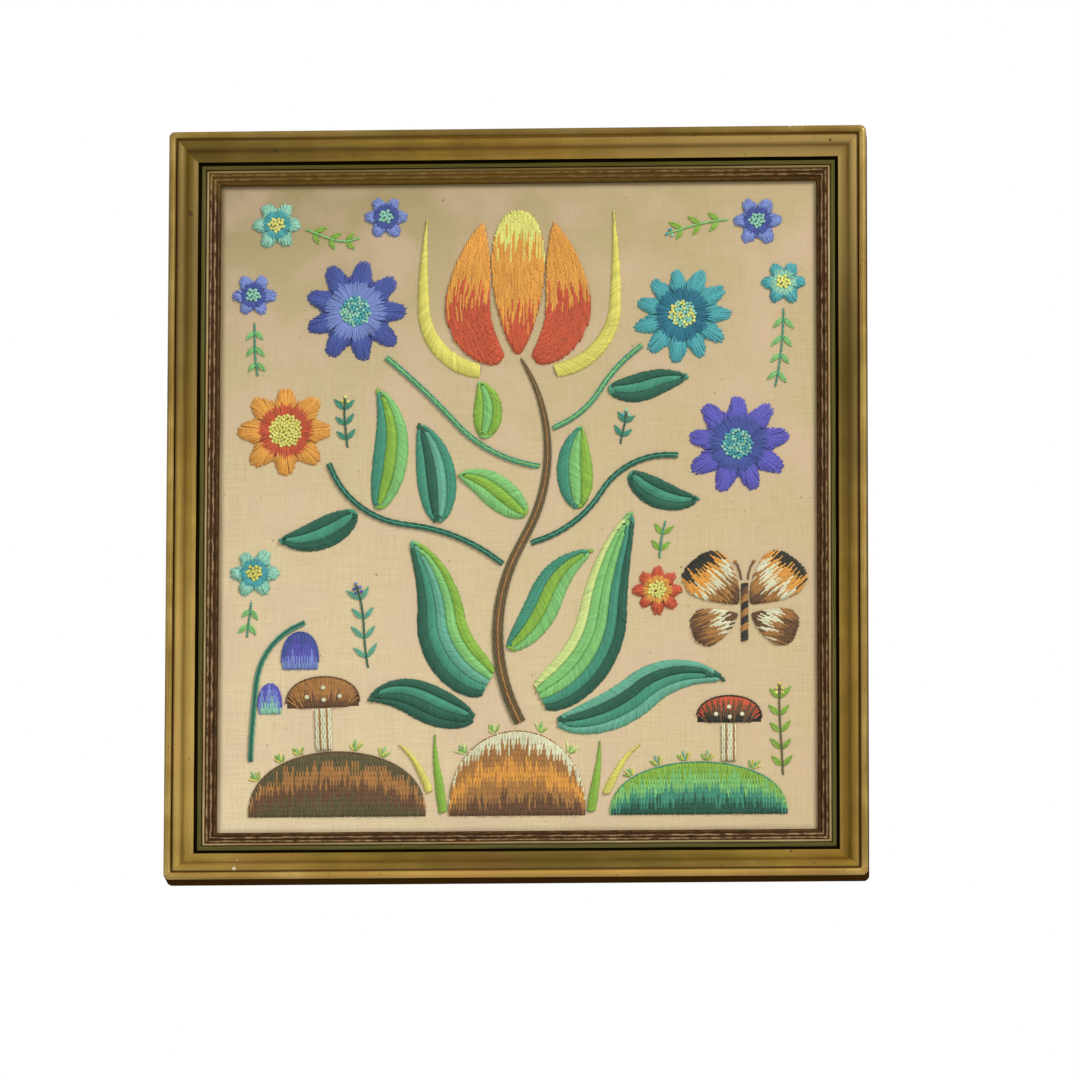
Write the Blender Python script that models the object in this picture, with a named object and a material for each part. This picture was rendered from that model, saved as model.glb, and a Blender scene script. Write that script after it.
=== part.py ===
# Crewel embroidery panel: a square of linen worked in raised wool, in a moulded and mitred wooden frame.
# Blender 4.5, metres, +Z up. The front faces -Y and the wall is the plane y = 0.
# The origin is on the wall, at the middle of the top rail's back face, where the frame hangs.
import math

import bmesh
import bpy
from mathutils import Matrix, Vector

for thing in list(bpy.data.objects):
    bpy.data.objects.remove(thing, do_unlink=True)

MM = 0.001  # every size below is in millimetres

# The frame's outside, and its moulding
FRAME_WIDTH = 484.0
FRAME_HEIGHT = 526.0
RAIL_WIDTH = 35.0
LIP_WIDTH = 6.0  # how far the moulding's lip covers the linen
LIP_HEIGHT = 8.9  # the lip's back, above the wall
MITRE_GAP = 0.3
ARC_STEPS = 5

# The cloth and the board behind it
CLEARANCE = 0.3  # between any two pieces
LINEN_THICK = 1.0
BOARD_THICK = 3.0

# The wool
WOOL_LOW = 1.1  # height of the narrowest stitching above the linen
WOOL_HIGH = 2.0  # height of a wide leaf's crown
FULL_HALF_WIDTH = 4.0  # half width from which stitching reaches its full height
TIP_HALF_WIDTH = 0.5
BRANCH_GAP = 0.45  # between a stem and what grows from it
STEP_LENGTH = 9.0  # along a leaf's or stem's middle line
RIB_WIDTH = 7.5  # a wide leaf is worked in lengthwise ribs of about this width
RIB_SHOULDER = 0.66  # heights in a rib, as shares of its crown
RIB_VALLEY = 0.4
EDGE_FALL = 0.3  # how much lower the crowns lie at a leaf's edge than at its middle
KNOT_RISE = 0.9  # how far a flower's knotted centre stands above its petals
LOBE_STEPS = 6

BACK_WIDTH = RAIL_WIDTH - LIP_WIDTH
TOP_Z = BACK_WIDTH / 2
CENTRE_Z = TOP_Z - FRAME_HEIGHT / 2
LINEN_FRONT = LIP_HEIGHT - CLEARANCE
LINEN_BACK = LINEN_FRONT - LINEN_THICK
BOARD_FRONT = LINEN_BACK - CLEARANCE
BOARD_BACK = BOARD_FRONT - BOARD_THICK
WOOL_BASE = LINEN_FRONT + CLEARANCE
SHEET_WIDTH = FRAME_WIDTH - 2 * (BACK_WIDTH + CLEARANCE)
SHEET_HEIGHT = FRAME_HEIGHT - 2 * (BACK_WIDTH + CLEARANCE)

# The moulding's section, from its outer back edge round to its inner back edge.
# A row ends at this distance inward and this height above the wall; bulge is how far its arc swells.
MOULDING = (
    # member, inward, height, bulge
    ("outer back edge", 0.0, 0.0, 0.0),
    ("outer side", 0.0, 27.9, 0.0),
    ("outer bead", 4.9, 27.5, 2.3),
    ("quirk wall", 4.9, 26.2, 0.0),
    ("quirk floor", 5.7, 26.2, 0.0),
    ("gilt edge", 5.7, 27.2, 0.0),
    ("gilt hollow, upper", 12.4, 23.5, 0.8),
    ("gilt hollow, lower", 19.7, 17.6, -0.9),
    ("dark step", 19.7, 15.3, 0.0),
    ("dark floor", 21.9, 15.3, 0.0),
    ("fillet wall", 21.9, 15.9, 0.0),
    ("fillet", 24.7, 15.8, 0.2),
    ("groove wall", 24.7, 15.1, 0.0),
    ("groove floor", 25.3, 15.1, 0.0),
    ("gilt line", 26.9, 15.0, 0.7),
    ("first reed", 29.6, 13.8, 0.45),
    ("second reed", 32.3, 12.3, 0.45),
    ("third reed", RAIL_WIDTH, 10.6, 0.45),
    ("sight edge", RAIL_WIDTH, LIP_HEIGHT, 0.0),
    ("lip back", BACK_WIDTH, LIP_HEIGHT, 0.0),
    ("rabbet", BACK_WIDTH, 0.0, 0.0),
)

RAILS = (
    # name, turn about the frame's middle in degrees, length, distance from the middle
    ("rail_top", 0.0, FRAME_WIDTH, FRAME_HEIGHT / 2),
    ("rail_right", 90.0, FRAME_HEIGHT, FRAME_WIDTH / 2),
    ("rail_bottom", 180.0, FRAME_WIDTH, FRAME_HEIGHT / 2),
    ("rail_left", 270.0, FRAME_HEIGHT, FRAME_WIDTH / 2),
)

# How the width of a long motif runs from its start to its tip: the power it rises by and falls by
OUTLINES = {
    "stem": (0.0, 0.0),
    "taper": (0.0, 0.35),
    "leaf": (0.6, 0.8),
    "strap": (0.28, 0.65),
    "grass": (0.12, 0.8),
    "petal": (0.75, 0.42),
    "wing": (0.9, 0.38),
}

# Long motifs, in mm from the linen's middle. A motif starts at a point (x, z), or grows from another one:
# (its name, how far along it from 0 to 1, side: 1 left of its direction, -1 right).
# Heading is in degrees from +X; the first half turns by bend_in and the second half by bend_out.
BLADES = (
    # name, start, heading, length, bend_in, bend_out, width, outline, colour
    ("stem_main", (2, -152), 118, 268, -58, 62, 8, "taper", "bark"),
    ("branch_left", ("stem_main", 0.42, 1), 140, 147, 34, -66, 4, "stem", "dark green"),
    ("branch_right", ("stem_main", 0.50, -1), 14, 124, 44, -66, 4, "stem", "dark green"),
    ("twig_left", ("stem_main", 0.70, 1), 172, 135, -40, 8, 3.6, "stem", "teal green"),
    ("twig_right", ("stem_main", 0.80, -1), 20, 86, 38, -22, 3.6, "stem", "teal green"),
    ("tulip_middle", (0, 107), 90, 102, 0, 0, 37, "petal", "orange"),
    ("tulip_left", (-11, 103), 154, 108, -72, -6, 31, "leaf", "rust"),
    ("tulip_right", (11, 103), 26, 108, 72, 6, 31, "leaf", "rust"),
    ("blade_left", (-26, 95), 172, 128, -80, -8, 11, "grass", "yellow"),
    ("blade_right", (26, 95), 8, 134, 80, 6, 11, "grass", "yellow"),
    ("leaf_low_left", (-20, -124), 158, 118, -64, 34, 36, "strap", "lime"),
    ("leaf_low_right", (16, -134), 22, 150, 62, -20, 36, "strap", "light green"),
    ("leaf_foot_left", (-30, -149), 168, 77, -16, 54, 27, "leaf", "dark green"),
    ("leaf_foot_right", (28, -152), 0, 124, 40, -66, 28, "leaf", "teal green"),
    ("leaf_mid_left", ("branch_left", 0.36, -1), 88, 72, 10, 22, 27, "leaf", "teal green"),
    ("leaf_high_left", ("branch_left", 0.66, -1), 70, 88, 16, 34, 24, "leaf", "light green"),
    ("leaf_side_left", ("branch_left", 0.74, 1), 222, 58, -20, -30, 22, "leaf", "dark green"),
    ("leaf_side_right", ("branch_right", 0.70, -1), -52, 54, 30, 30, 20, "leaf", "dark green"),
    ("leaf_mid_right", ("branch_right", 0.34, 1), 98, 58, -6, -24, 25, "leaf", "lime"),
    ("leaf_stem_right", ("stem_main", 0.20, -1), 40, 92, 30, -52, 24, "leaf", "lime"),
    ("leaf_stem_left", ("stem_main", 0.56, 1), 140, 56, 0, 34, 23, "leaf", "light green"),
    ("leaf_twig_left", ("twig_left", 0.34, -1), 70, 41, 20, 36, 20, "leaf", "lime"),
    ("leaf_twig_right", ("twig_right", 0.55, -1), -10, 56, 30, -20, 20, "leaf", "dark green"),
    ("stem_bell", (-184, -178), 88, 112, -4, -66, 3.4, "stem", "teal green"),
    ("stalk_left", (-133, -170.3), 92, 29, 0, 0, 11, "stem", "cream"),
    ("stalk_right", (146, -180), 90, 26, 0, 0, 10, "stem", "cream"),
    ("wing_upper_right", (161, -70), 50, 44, -10, 10, 35, "wing", "tan"),
    ("wing_upper_left", (152.4, -70), 130, 44, 10, -10, 35, "wing", "tan"),
    ("wing_lower_right", (161.5, -77), -30, 34, 10, 0, 26, "wing", "brown"),
    ("wing_lower_left", (151.9, -77), 210, 34, -10, 0, 26, "wing", "brown"),
    ("moth_body", (156.7, -96), 90, 40, 0, 0, 5, "stem", "near black"),
    ("grass_left", (-51, -214), 97, 54, 2, -10, 6.5, "grass", "lime"),
    ("grass_outer_left", (-60, -200), 112, 40, 6, 24, 5.5, "grass", "yellow"),
    ("grass_right", (51, -214), 82, 49, -2, 10, 6.5, "grass", "lime"),
    ("grass_outer_right", (61, -202), 66, 42, -6, -26, 5.5, "grass", "yellow"),
)

FLOWERS = (
    # name, x, z, radius, petals, notch as a share of the radius, turn in degrees, knots' radius, colour
    ("daisy_left", -113, 138, 39, 9, 0.32, 0, 11, "blue"),
    ("aster_right", 114, 134, 36, 11, 0.28, 0, 10, "turquoise"),
    ("zinnia_left", -161, 54, 35, 8, 0.28, 0, 12, "orange"),
    ("daisy_right", 152, 42, 38, 9, 0.32, 10, 11, "violet"),
    ("rosette_right", 96.8, -60, 18.8, 8, 0.28, 0, 6.5, "rust"),
    ("floret_1", -168, 200, 19, 6, 0.32, 0, 5.5, "mint"),
    ("floret_2", -184, 150, 17, 6, 0.32, 0, 5, "periwinkle"),
    ("floret_3", 166, 200, 19, 6, 0.32, 0, 5.5, "periwinkle"),
    ("floret_4", 184, 156, 17, 6, 0.32, 0, 5, "mint"),
    ("floret_5", -182, -46, 19, 6, 0.32, 0, 5.5, "mint"),
    ("floret_6", -92, 205, 17, 6, 0.32, 0, 5, "periwinkle"),
)

DOMES = (
    # name, x, z of the flat side's middle, lean in degrees, width, height, fullness, colour
    ("mound_left", -124, -217, 0, 122, 46, 0.8, "olive"),
    ("mound_middle", 0, -217, 0, 94, 60, 0.8, "tan"),
    ("mound_right", 125, -217, 0, 122, 37, 0.8, "light green"),
    ("cap_left", -134, -140.6, 2, 52, 22, 0.7, "tan"),
    ("cap_right", 146, -153, 0, 46, 19, 0.7, "brown"),
    ("bell_upper", -150, -114, 0, 26, 27, 0.6, "violet"),
    ("bell_lower", -170.7, -145, 0, 16.5, 22, 0.6, "periwinkle"),
)
DOME_STEPS = 16

# Each colour's red, green and blue as light, and its roughness
COLOURS = {
    "gilt": (0.30, 0.16, 0.035, 0.42),
    "linen": (0.62, 0.50, 0.29, 0.95),
    "board": (0.20, 0.11, 0.05, 0.85),
    "bark": (0.11, 0.09, 0.03, 0.9),
    "olive": (0.12, 0.10, 0.03, 0.9),
    "brown": (0.15, 0.07, 0.02, 0.9),
    "tan": (0.42, 0.19, 0.05, 0.9),
    "cream": (0.85, 0.75, 0.45, 0.9),
    "near black": (0.025, 0.022, 0.012, 0.9),
    "dark green": (0.014, 0.11, 0.06, 0.9),
    "teal green": (0.08, 0.33, 0.20, 0.9),
    "light green": (0.24, 0.52, 0.20, 0.9),
    "lime": (0.27, 0.46, 0.04, 0.9),
    "yellow": (0.68, 0.62, 0.12, 0.9),
    "orange": (0.87, 0.35, 0.05, 0.9),
    "rust": (0.54, 0.09, 0.05, 0.9),
    "blue": (0.06, 0.09, 0.26, 0.9),
    "violet": (0.10, 0.10, 0.38, 0.9),
    "periwinkle": (0.20, 0.27, 0.48, 0.9),
    "turquoise": (0.08, 0.37, 0.34, 0.9),
    "mint": (0.27, 0.55, 0.38, 0.9),
}

panel = bpy.data.collections.new("crewel_embroidery_panel")
bpy.context.scene.collection.children.link(panel)
hanger = bpy.data.objects.new("panel_on_wall", None)
hanger.empty_display_size = 0.05
panel.objects.link(hanger)


def finish_material(name, colour):
    red, green, blue, roughness = COLOURS[colour]
    material = bpy.data.materials.new(f"{name} {colour}")
    material.use_nodes = True
    shader = material.node_tree.nodes["Principled BSDF"]
    shader.inputs["Base Color"].default_value = (red, green, blue, 1.0)
    shader.inputs["Roughness"].default_value = roughness
    material.diffuse_color = (red, green, blue, 1.0)
    return material


def add_object(name, bm, colour):
    """One closed piece, with its faces turned outward and its own material."""
    bmesh.ops.recalc_face_normals(bm, faces=bm.faces)
    mesh = bpy.data.meshes.new(name)
    bm.to_mesh(mesh)
    bm.free()
    mesh.shade_smooth()
    mesh.set_sharp_from_angle(angle=math.radians(35.0))
    mesh.materials.append(finish_material(name, colour))
    piece = bpy.data.objects.new(name, mesh)
    piece.parent = hanger
    panel.objects.link(piece)
    return piece


def on_panel(x, z, height):
    """A point of the panel: x and z from the linen's middle, and its height above the wall."""
    return Vector((x * MM, -height * MM, (CENTRE_Z + z) * MM))


def arc(start, end, bulge):
    """The points after start of an arc to end that swells by bulge to the left of its direction."""
    if not bulge:
        return [end]
    chord = end - start
    side = Vector((-chord.y, chord.x)).normalized()
    radius = (chord.length_squared / 4 + bulge**2) / (2 * abs(bulge))
    half_angle = math.asin(min(1.0, chord.length / (2 * radius)))
    centre = (start + end) / 2 - side * math.copysign(radius - abs(bulge), bulge)
    first = start - centre
    turn = -2 * half_angle * math.copysign(1.0, bulge) / ARC_STEPS
    return [centre + Matrix.Rotation(turn * (i + 1), 2) @ first for i in range(ARC_STEPS)]


def moulding_section():
    """The moulding's outline as (inward, height) points, with its round members as arcs."""
    points = []
    for _, inward, height, bulge in MOULDING:
        corner = Vector((inward, height))
        points += arc(points[-1], corner, bulge) if points else [corner]
    return points


def add_rail(name, turn, length, reach):
    """One rail: the moulding's section drawn along X, cut at 45 degrees at both ends, and turned into place."""
    bm = bmesh.new()
    section = [bm.verts.new((-length / 2, -p.y, reach - p.x)) for p in moulding_section()]
    profile = bm.faces.new(section)
    drawn = bmesh.ops.extrude_face_region(bm, geom=[profile])
    moved = [item for item in drawn["geom"] if isinstance(item, bmesh.types.BMVert)]
    bmesh.ops.translate(bm, verts=moved, vec=(length, 0.0, 0.0))
    for end in (-1, 1):
        normal = Vector((end, 0.0, -1.0)).normalized()
        corner = Vector((end * length / 2, 0.0, reach)) - normal * MITRE_GAP / 2
        geometry = bm.verts[:] + bm.edges[:] + bm.faces[:]
        cut = bmesh.ops.bisect_plane(bm, geom=geometry, plane_co=corner, plane_no=normal, clear_outer=True)
        rim = [item for item in cut["geom_cut"] if isinstance(item, bmesh.types.BMEdge)]
        bmesh.ops.contextual_create(bm, geom=rim)
    place = Matrix.Translation((0.0, 0.0, CENTRE_Z)) @ Matrix.Rotation(math.radians(turn), 4, "Y")
    bmesh.ops.transform(bm, matrix=Matrix.Scale(MM, 4) @ place, verts=bm.verts)
    add_object(name, bm, "gilt")


def add_sheet(name, back, thickness, colour):
    """A flat sheet held in the rabbet."""
    bm = bmesh.new()
    bmesh.ops.create_cube(bm, size=1.0)
    size = Matrix.Diagonal((SHEET_WIDTH * MM, thickness * MM, SHEET_HEIGHT * MM, 1.0))
    middle = on_panel(0.0, 0.0, back + thickness / 2)
    bmesh.ops.transform(bm, matrix=Matrix.Translation(middle) @ size, verts=bm.verts)
    add_object(name, bm, colour)


def width_share(outline, along):
    """The share of a long motif's full width at a place from 0 to 1 along it."""
    rise, fall = OUTLINES[outline]

    def raw(t):
        return (t + 0.02) ** rise * (1.0 - t) ** fall

    widest = max(raw(i / 60) for i in range(60))
    return raw(min(along, 0.9999)) / widest


def middle_line(start, heading, length, bend_in, bend_out):
    """Points along a long motif, whose heading turns evenly within each half."""
    steps = max(8, min(16, int(length / STEP_LENGTH)))
    points = [Vector(start)]
    for i in range(steps):
        along = (i + 0.5) / steps
        turned = heading + bend_in * min(2 * along, 1.0) + bend_out * max(0.0, 2 * along - 1.0)
        angle = math.radians(turned)
        points.append(points[-1] + Vector((math.cos(angle), math.sin(angle))) * (length / steps))
    return points


def line_sides(points):
    """The direction to the left of a middle line at each of its points."""
    last = len(points) - 1
    tangents = [points[min(i + 1, last)] - points[max(i - 1, 0)] for i in range(last + 1)]
    return [Vector((-t.y, t.x)).normalized() for t in tangents]


def start_of(grown, start, width, outline):
    """The point that a motif starts from: its own, or just beside the stem that it grows from."""
    if not isinstance(start[0], str):
        return start
    points, sides, halves = grown[start[0]]
    place = start[1] * (len(points) - 1)
    low = int(place)
    share = place - low
    own_half = max(width / 2 * width_share(outline, 0.0), TIP_HALF_WIDTH)
    stem_half = halves[low] * (1 - share) + halves[low + 1] * share
    centre = points[low].lerp(points[low + 1], share)
    return centre + sides[low].lerp(sides[low + 1], share) * start[2] * (stem_half + own_half + BRANCH_GAP)


def wool_height(half_width):
    return WOOL_LOW + (WOOL_HIGH - WOOL_LOW) * min(1.0, half_width / FULL_HALF_WIDTH)


def ribbed_section(ribs):
    """A long motif's section as (across, up) shares: this many domed ribs side by side, with valleys between."""
    points = [(-1.0, 0.0)]
    for i in range(ribs):
        crown = (2 * i + 1) / ribs - 1.0
        height = 1.0 - EDGE_FALL * crown**2
        shoulder = 0.8 / ribs
        points += [(crown - shoulder, RIB_SHOULDER * height), (crown, height)]
        points.append((crown + shoulder, RIB_SHOULDER * height))
        if i < ribs - 1:
            points.append((crown + 1.0 / ribs, RIB_VALLEY * height))
    return points + [(1.0, 0.0)]


def add_blade(name, points, sides, halves, colour):
    """A leaf, petal, wing or stem: its ribs widen and narrow together along its middle line."""
    dome = ribbed_section(max(1, round(2 * max(halves) / RIB_WIDTH)))
    bm = bmesh.new()
    rings = []
    for point, side, half in zip(points, sides, halves):
        high = wool_height(half)
        places = [(point + side * half * across, WOOL_BASE + high * up) for across, up in dome]
        rings.append([bm.verts.new(on_panel(p.x, p.y, height)) for p, height in places])
    for first, second in zip(rings, rings[1:]):
        for i in range(len(dome)):
            j = (i + 1) % len(dome)
            bm.faces.new((first[i], first[j], second[j], second[i]))
    bm.faces.new(rings[0])
    bm.faces.new(rings[-1])
    add_object(name, bm, colour)


def raised_patch(name, x, z, outline, rings, colour):
    """A patch of stitching: its outline raised ring by ring towards its middle.

    outline holds (x, z) points from the patch's middle. A ring is a function that gives, for the
    number of a point and its place on the outline, the share of the way out and the height.
    """
    bm = bmesh.new()
    face = bm.faces.new([bm.verts.new(on_panel(x + p.x, z + p.y, WOOL_BASE)) for p in outline])
    for ring in rings:
        lifted = bmesh.ops.extrude_discrete_faces(bm, faces=[face])["faces"][0]
        for i, vert in enumerate(lifted.verts):
            share, height = ring(i, outline[i])
            vert.co = on_panel(x + outline[i].x * share, z + outline[i].y * share, WOOL_BASE + height)
        face = lifted
    bottom = [bm.verts.new(on_panel(x + p.x, z + p.y, WOOL_BASE)) for p in outline]
    bm.faces.new(bottom)
    bmesh.ops.remove_doubles(bm, verts=bm.verts, dist=1e-6)
    add_object(name, bm, colour)


def add_flower(name, x, z, radius, petals, notch, turn, knots, colour):
    """A flower: petals that dip between them, round a raised middle of knots."""
    count = petals * LOBE_STEPS
    dips = [abs(math.sin(math.pi * i / LOBE_STEPS)) ** 3 for i in range(count)]
    outline = []
    for i, dip in enumerate(dips):
        angle = math.radians(turn) + 2 * math.pi * i / count
        outline.append(Vector((math.cos(angle), math.sin(angle))) * radius * (1 - notch * dip))

    def petal_ring(share, height):
        return lambda i, point: (share, height * (1 - 0.35 * dips[i]))

    def round_ring(reach, height):
        return lambda i, point: (reach / point.length, height)

    rings = (
        petal_ring(0.97, 1.0),
        petal_ring(0.66, WOOL_HIGH),
        round_ring(knots * 1.08, 1.5),
        round_ring(knots * 0.94, WOOL_HIGH + KNOT_RISE * 0.6),
        round_ring(knots * 0.5, WOOL_HIGH + KNOT_RISE),
    )
    raised_patch(name, x, z, outline, rings, colour)


def add_dome(name, x, z, lean, width, height, fullness, colour):
    """A mound, mushroom cap or bell: half a rounded oval on a flat side."""
    tilt = Matrix.Rotation(math.radians(lean), 2)
    middle = Vector((0.0, height * 0.42))
    outline = []
    for i in range(DOME_STEPS + 1):
        angle = math.pi * i / DOME_STEPS
        edge = Vector((width / 2 * math.cos(angle), height * math.sin(angle) ** fullness))
        outline.append(tilt @ (edge - middle))
    centre = tilt @ middle
    steps = ((0.96, 1.0), (0.7, 1.75), (0.35, WOOL_HIGH))
    rings = [lambda i, point, step=step: step for step in steps]
    raised_patch(name, x + centre.x, z + centre.y, outline, rings, colour)


for rail in RAILS:
    add_rail(*rail)
add_sheet("linen", LINEN_BACK, LINEN_THICK, "linen")
add_sheet("backing_board", BOARD_BACK, BOARD_THICK, "board")

grown_lines = {}
for blade, start, heading, length, bend_in, bend_out, width, outline, colour in BLADES:
    root = start_of(grown_lines, start, width, outline)
    line = middle_line(root, heading, length, bend_in, bend_out)
    sides = line_sides(line)
    last = len(line) - 1
    halves = [max(width / 2 * width_share(outline, i / last), TIP_HALF_WIDTH) for i in range(last + 1)]
    grown_lines[blade] = (line, sides, halves)
    add_blade(blade, line, sides, halves, colour)
for flower in FLOWERS:
    add_flower(*flower)
for dome in DOMES:
    add_dome(*dome)
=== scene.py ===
# Crewel embroidery panel in its moulded wooden frame: every stitch, the linen, the gilding and the light.
# Lengths are in millimetres until a mesh is made; x and z run from the linen's middle, height from the wall.
import math
from functools import partial

import bmesh
import bpy
import numpy as np
from mathutils import Matrix, Vector, noise


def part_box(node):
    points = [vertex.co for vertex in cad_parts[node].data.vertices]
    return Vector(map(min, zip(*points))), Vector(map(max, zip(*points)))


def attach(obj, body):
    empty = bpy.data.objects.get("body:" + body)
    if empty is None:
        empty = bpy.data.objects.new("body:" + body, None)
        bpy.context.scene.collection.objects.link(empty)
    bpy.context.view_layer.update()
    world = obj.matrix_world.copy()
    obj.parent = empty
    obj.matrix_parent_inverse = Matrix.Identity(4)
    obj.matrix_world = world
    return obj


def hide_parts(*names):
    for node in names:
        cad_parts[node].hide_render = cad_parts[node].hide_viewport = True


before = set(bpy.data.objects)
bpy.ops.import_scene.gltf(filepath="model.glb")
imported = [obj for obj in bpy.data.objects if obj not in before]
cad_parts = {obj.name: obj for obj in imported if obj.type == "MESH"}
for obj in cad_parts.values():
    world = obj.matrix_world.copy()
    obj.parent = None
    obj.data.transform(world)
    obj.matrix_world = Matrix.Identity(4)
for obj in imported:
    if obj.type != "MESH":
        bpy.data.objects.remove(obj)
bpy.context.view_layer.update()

mm = 0.001
linenLow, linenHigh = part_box("linen")
linenFront = -linenLow.y / mm
centreZ = (linenLow.z + linenHigh.z) / 2 / mm
frameWidth = (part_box("rail_top")[1].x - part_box("rail_top")[0].x) / mm
frameHeight = (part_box("rail_left")[1].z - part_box("rail_left")[0].z) / mm


def toLinear(hexColour):
    shares = [int(hexColour[i:i + 2], 16) / 255 for i in (0, 2, 4)]
    return tuple(s / 12.92 if s <= 0.04045 else ((s + 0.055) / 1.055) ** 2.4 for s in shares) + (1.0,)


mainOutputs = {"ShaderNodeMix": 2, "ShaderNodeTexCoord": "Object"}


def feed(node, links):
    # each input is fed by a node's main output, or by a (node, output)
    for socket, source in links.items():
        if not isinstance(source, tuple):
            source = (source, mainOutputs.get(source.bl_idname, 0))
        node.id_data.links.new(source[0].outputs[source[1]], node.inputs[socket])


def addNode(tree, kind, settings=None, links=None):
    # a setting goes to the property of that name or else to an input, where text is a hex colour
    node = tree.nodes.new("ShaderNode" + kind)
    if kind == "Mix":
        node.data_type = "RGBA"
    for key, value in (settings or {}).items():
        if key == "stops":
            ramp = node.color_ramp
            for i, (place, colour) in enumerate(value):
                stop = ramp.elements[i] if i < 2 else ramp.elements.new(place)
                stop.position = place
                stop.color = toLinear(colour)
        elif isinstance(key, str) and hasattr(node, key):
            setattr(node, key, value)
        else:
            node.inputs[key].default_value = toLinear(value) if isinstance(value, str) else value
    feed(node, links or {})
    return node


def newMaterial(name, **sockets):
    material = bpy.data.materials.new(name)
    material.use_nodes = True
    shader = material.node_tree.nodes["Principled BSDF"]
    for key, value in sockets.items():
        shader.inputs[key.replace("_", " ")].default_value = value
    return material, partial(addNode, material.node_tree), shader


# Camera and light
print("camera and light")
view = {
    "distance": 8.0,  # metres from the middle of the view
    "azimuth": 3.221, "elevation": -10.82, "roll": 0.118,  # degrees: a little from the right and from below
    "lens": 385.9, "targetX": 0.015, "targetZ": -0.271,
}
azimuth, elevation = math.radians(view["azimuth"]), math.radians(view["elevation"])
back = Vector((math.sin(azimuth) * math.cos(elevation), -math.cos(azimuth) * math.cos(elevation),
               math.sin(elevation)))
right = Vector((math.cos(azimuth), math.sin(azimuth), 0.0))
turned = Matrix.Rotation(math.radians(view["roll"]), 3, back) @ right
target = Vector((view["targetX"], 0.0, view["targetZ"]))
camera = bpy.data.objects.new("camera", bpy.data.cameras.new("camera"))
camera.data.lens = view["lens"]
camera.data.sensor_width = 36.0
camera.data.clip_end = 60.0
camera.matrix_world = Matrix.Translation(target + back * view["distance"]) @ Matrix(
    (turned, back.cross(turned), back)).transposed().to_4x4()
bpy.context.scene.collection.objects.link(camera)
bpy.context.scene.camera = camera

lights = (
    # name, position, size, power in watts
    ("window light", (2.0, -2.1, 1.9), 1.2, 96.0),
    ("fill light", (-2.0, -3.0, 0.0), 2.0, 18.0),
)
for name, position, size, power in lights:
    lamp = bpy.data.objects.new(name, bpy.data.lights.new(name, "AREA"))
    lamp.data.shape = "SQUARE"
    lamp.data.size = size
    lamp.data.energy = power
    lamp.location = position
    lamp.rotation_euler = (target - Vector(position)).to_track_quat("-Z", "Y").to_euler()
    lamp.visible_camera = False
    bpy.context.scene.collection.objects.link(lamp)

world = bpy.data.worlds.new("white room")
bpy.context.scene.world = world
world.use_nodes = True
room = {"ambient": 0.50, "seen": 1.0}  # how brightly the room lights the panel, and how bright it looks
backdrop = world.node_tree.nodes["Background"]
backdrop.inputs["Color"].default_value = toLinear("FFFFFF")
lightPath = addNode(world.node_tree, "LightPath")
brightness = addNode(world.node_tree, "Mix", {"data_type": "FLOAT", 2: room["ambient"], 3: room["seen"]},
                     {0: (lightPath, "Is Camera Ray")})
feed(backdrop, {"Strength": (brightness, 0)})
bpy.context.scene.view_settings.view_transform = "Standard"

floorMaterial, addToFloor, floorShader = newMaterial("pale painted floor", Roughness=0.7)
floorTone = addToFloor("TexNoise", {"Scale": 3.0, "Detail": 3.0})
floorRamp = addToFloor("ValToRGB", {"stops": ((0.3, "E4E2DE"), (0.7, "EEECE8"))}, {0: floorTone})
feed(floorShader, {"Base Color": floorRamp})
floorHeight, floorReach = -2.05, 6.0
floorMesh = bpy.data.meshes.new("floor")
around = ((-1, -1), (1, -1), (1, 1), (-1, 1))
floorMesh.from_pydata([(x * floorReach, y * floorReach, floorHeight) for x, y in around], [], [(0, 1, 2, 3)])
floorMesh.materials.append(floorMaterial)
floor = bpy.data.objects.new("floor", floorMesh)
bpy.context.scene.collection.objects.link(floor)


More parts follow.
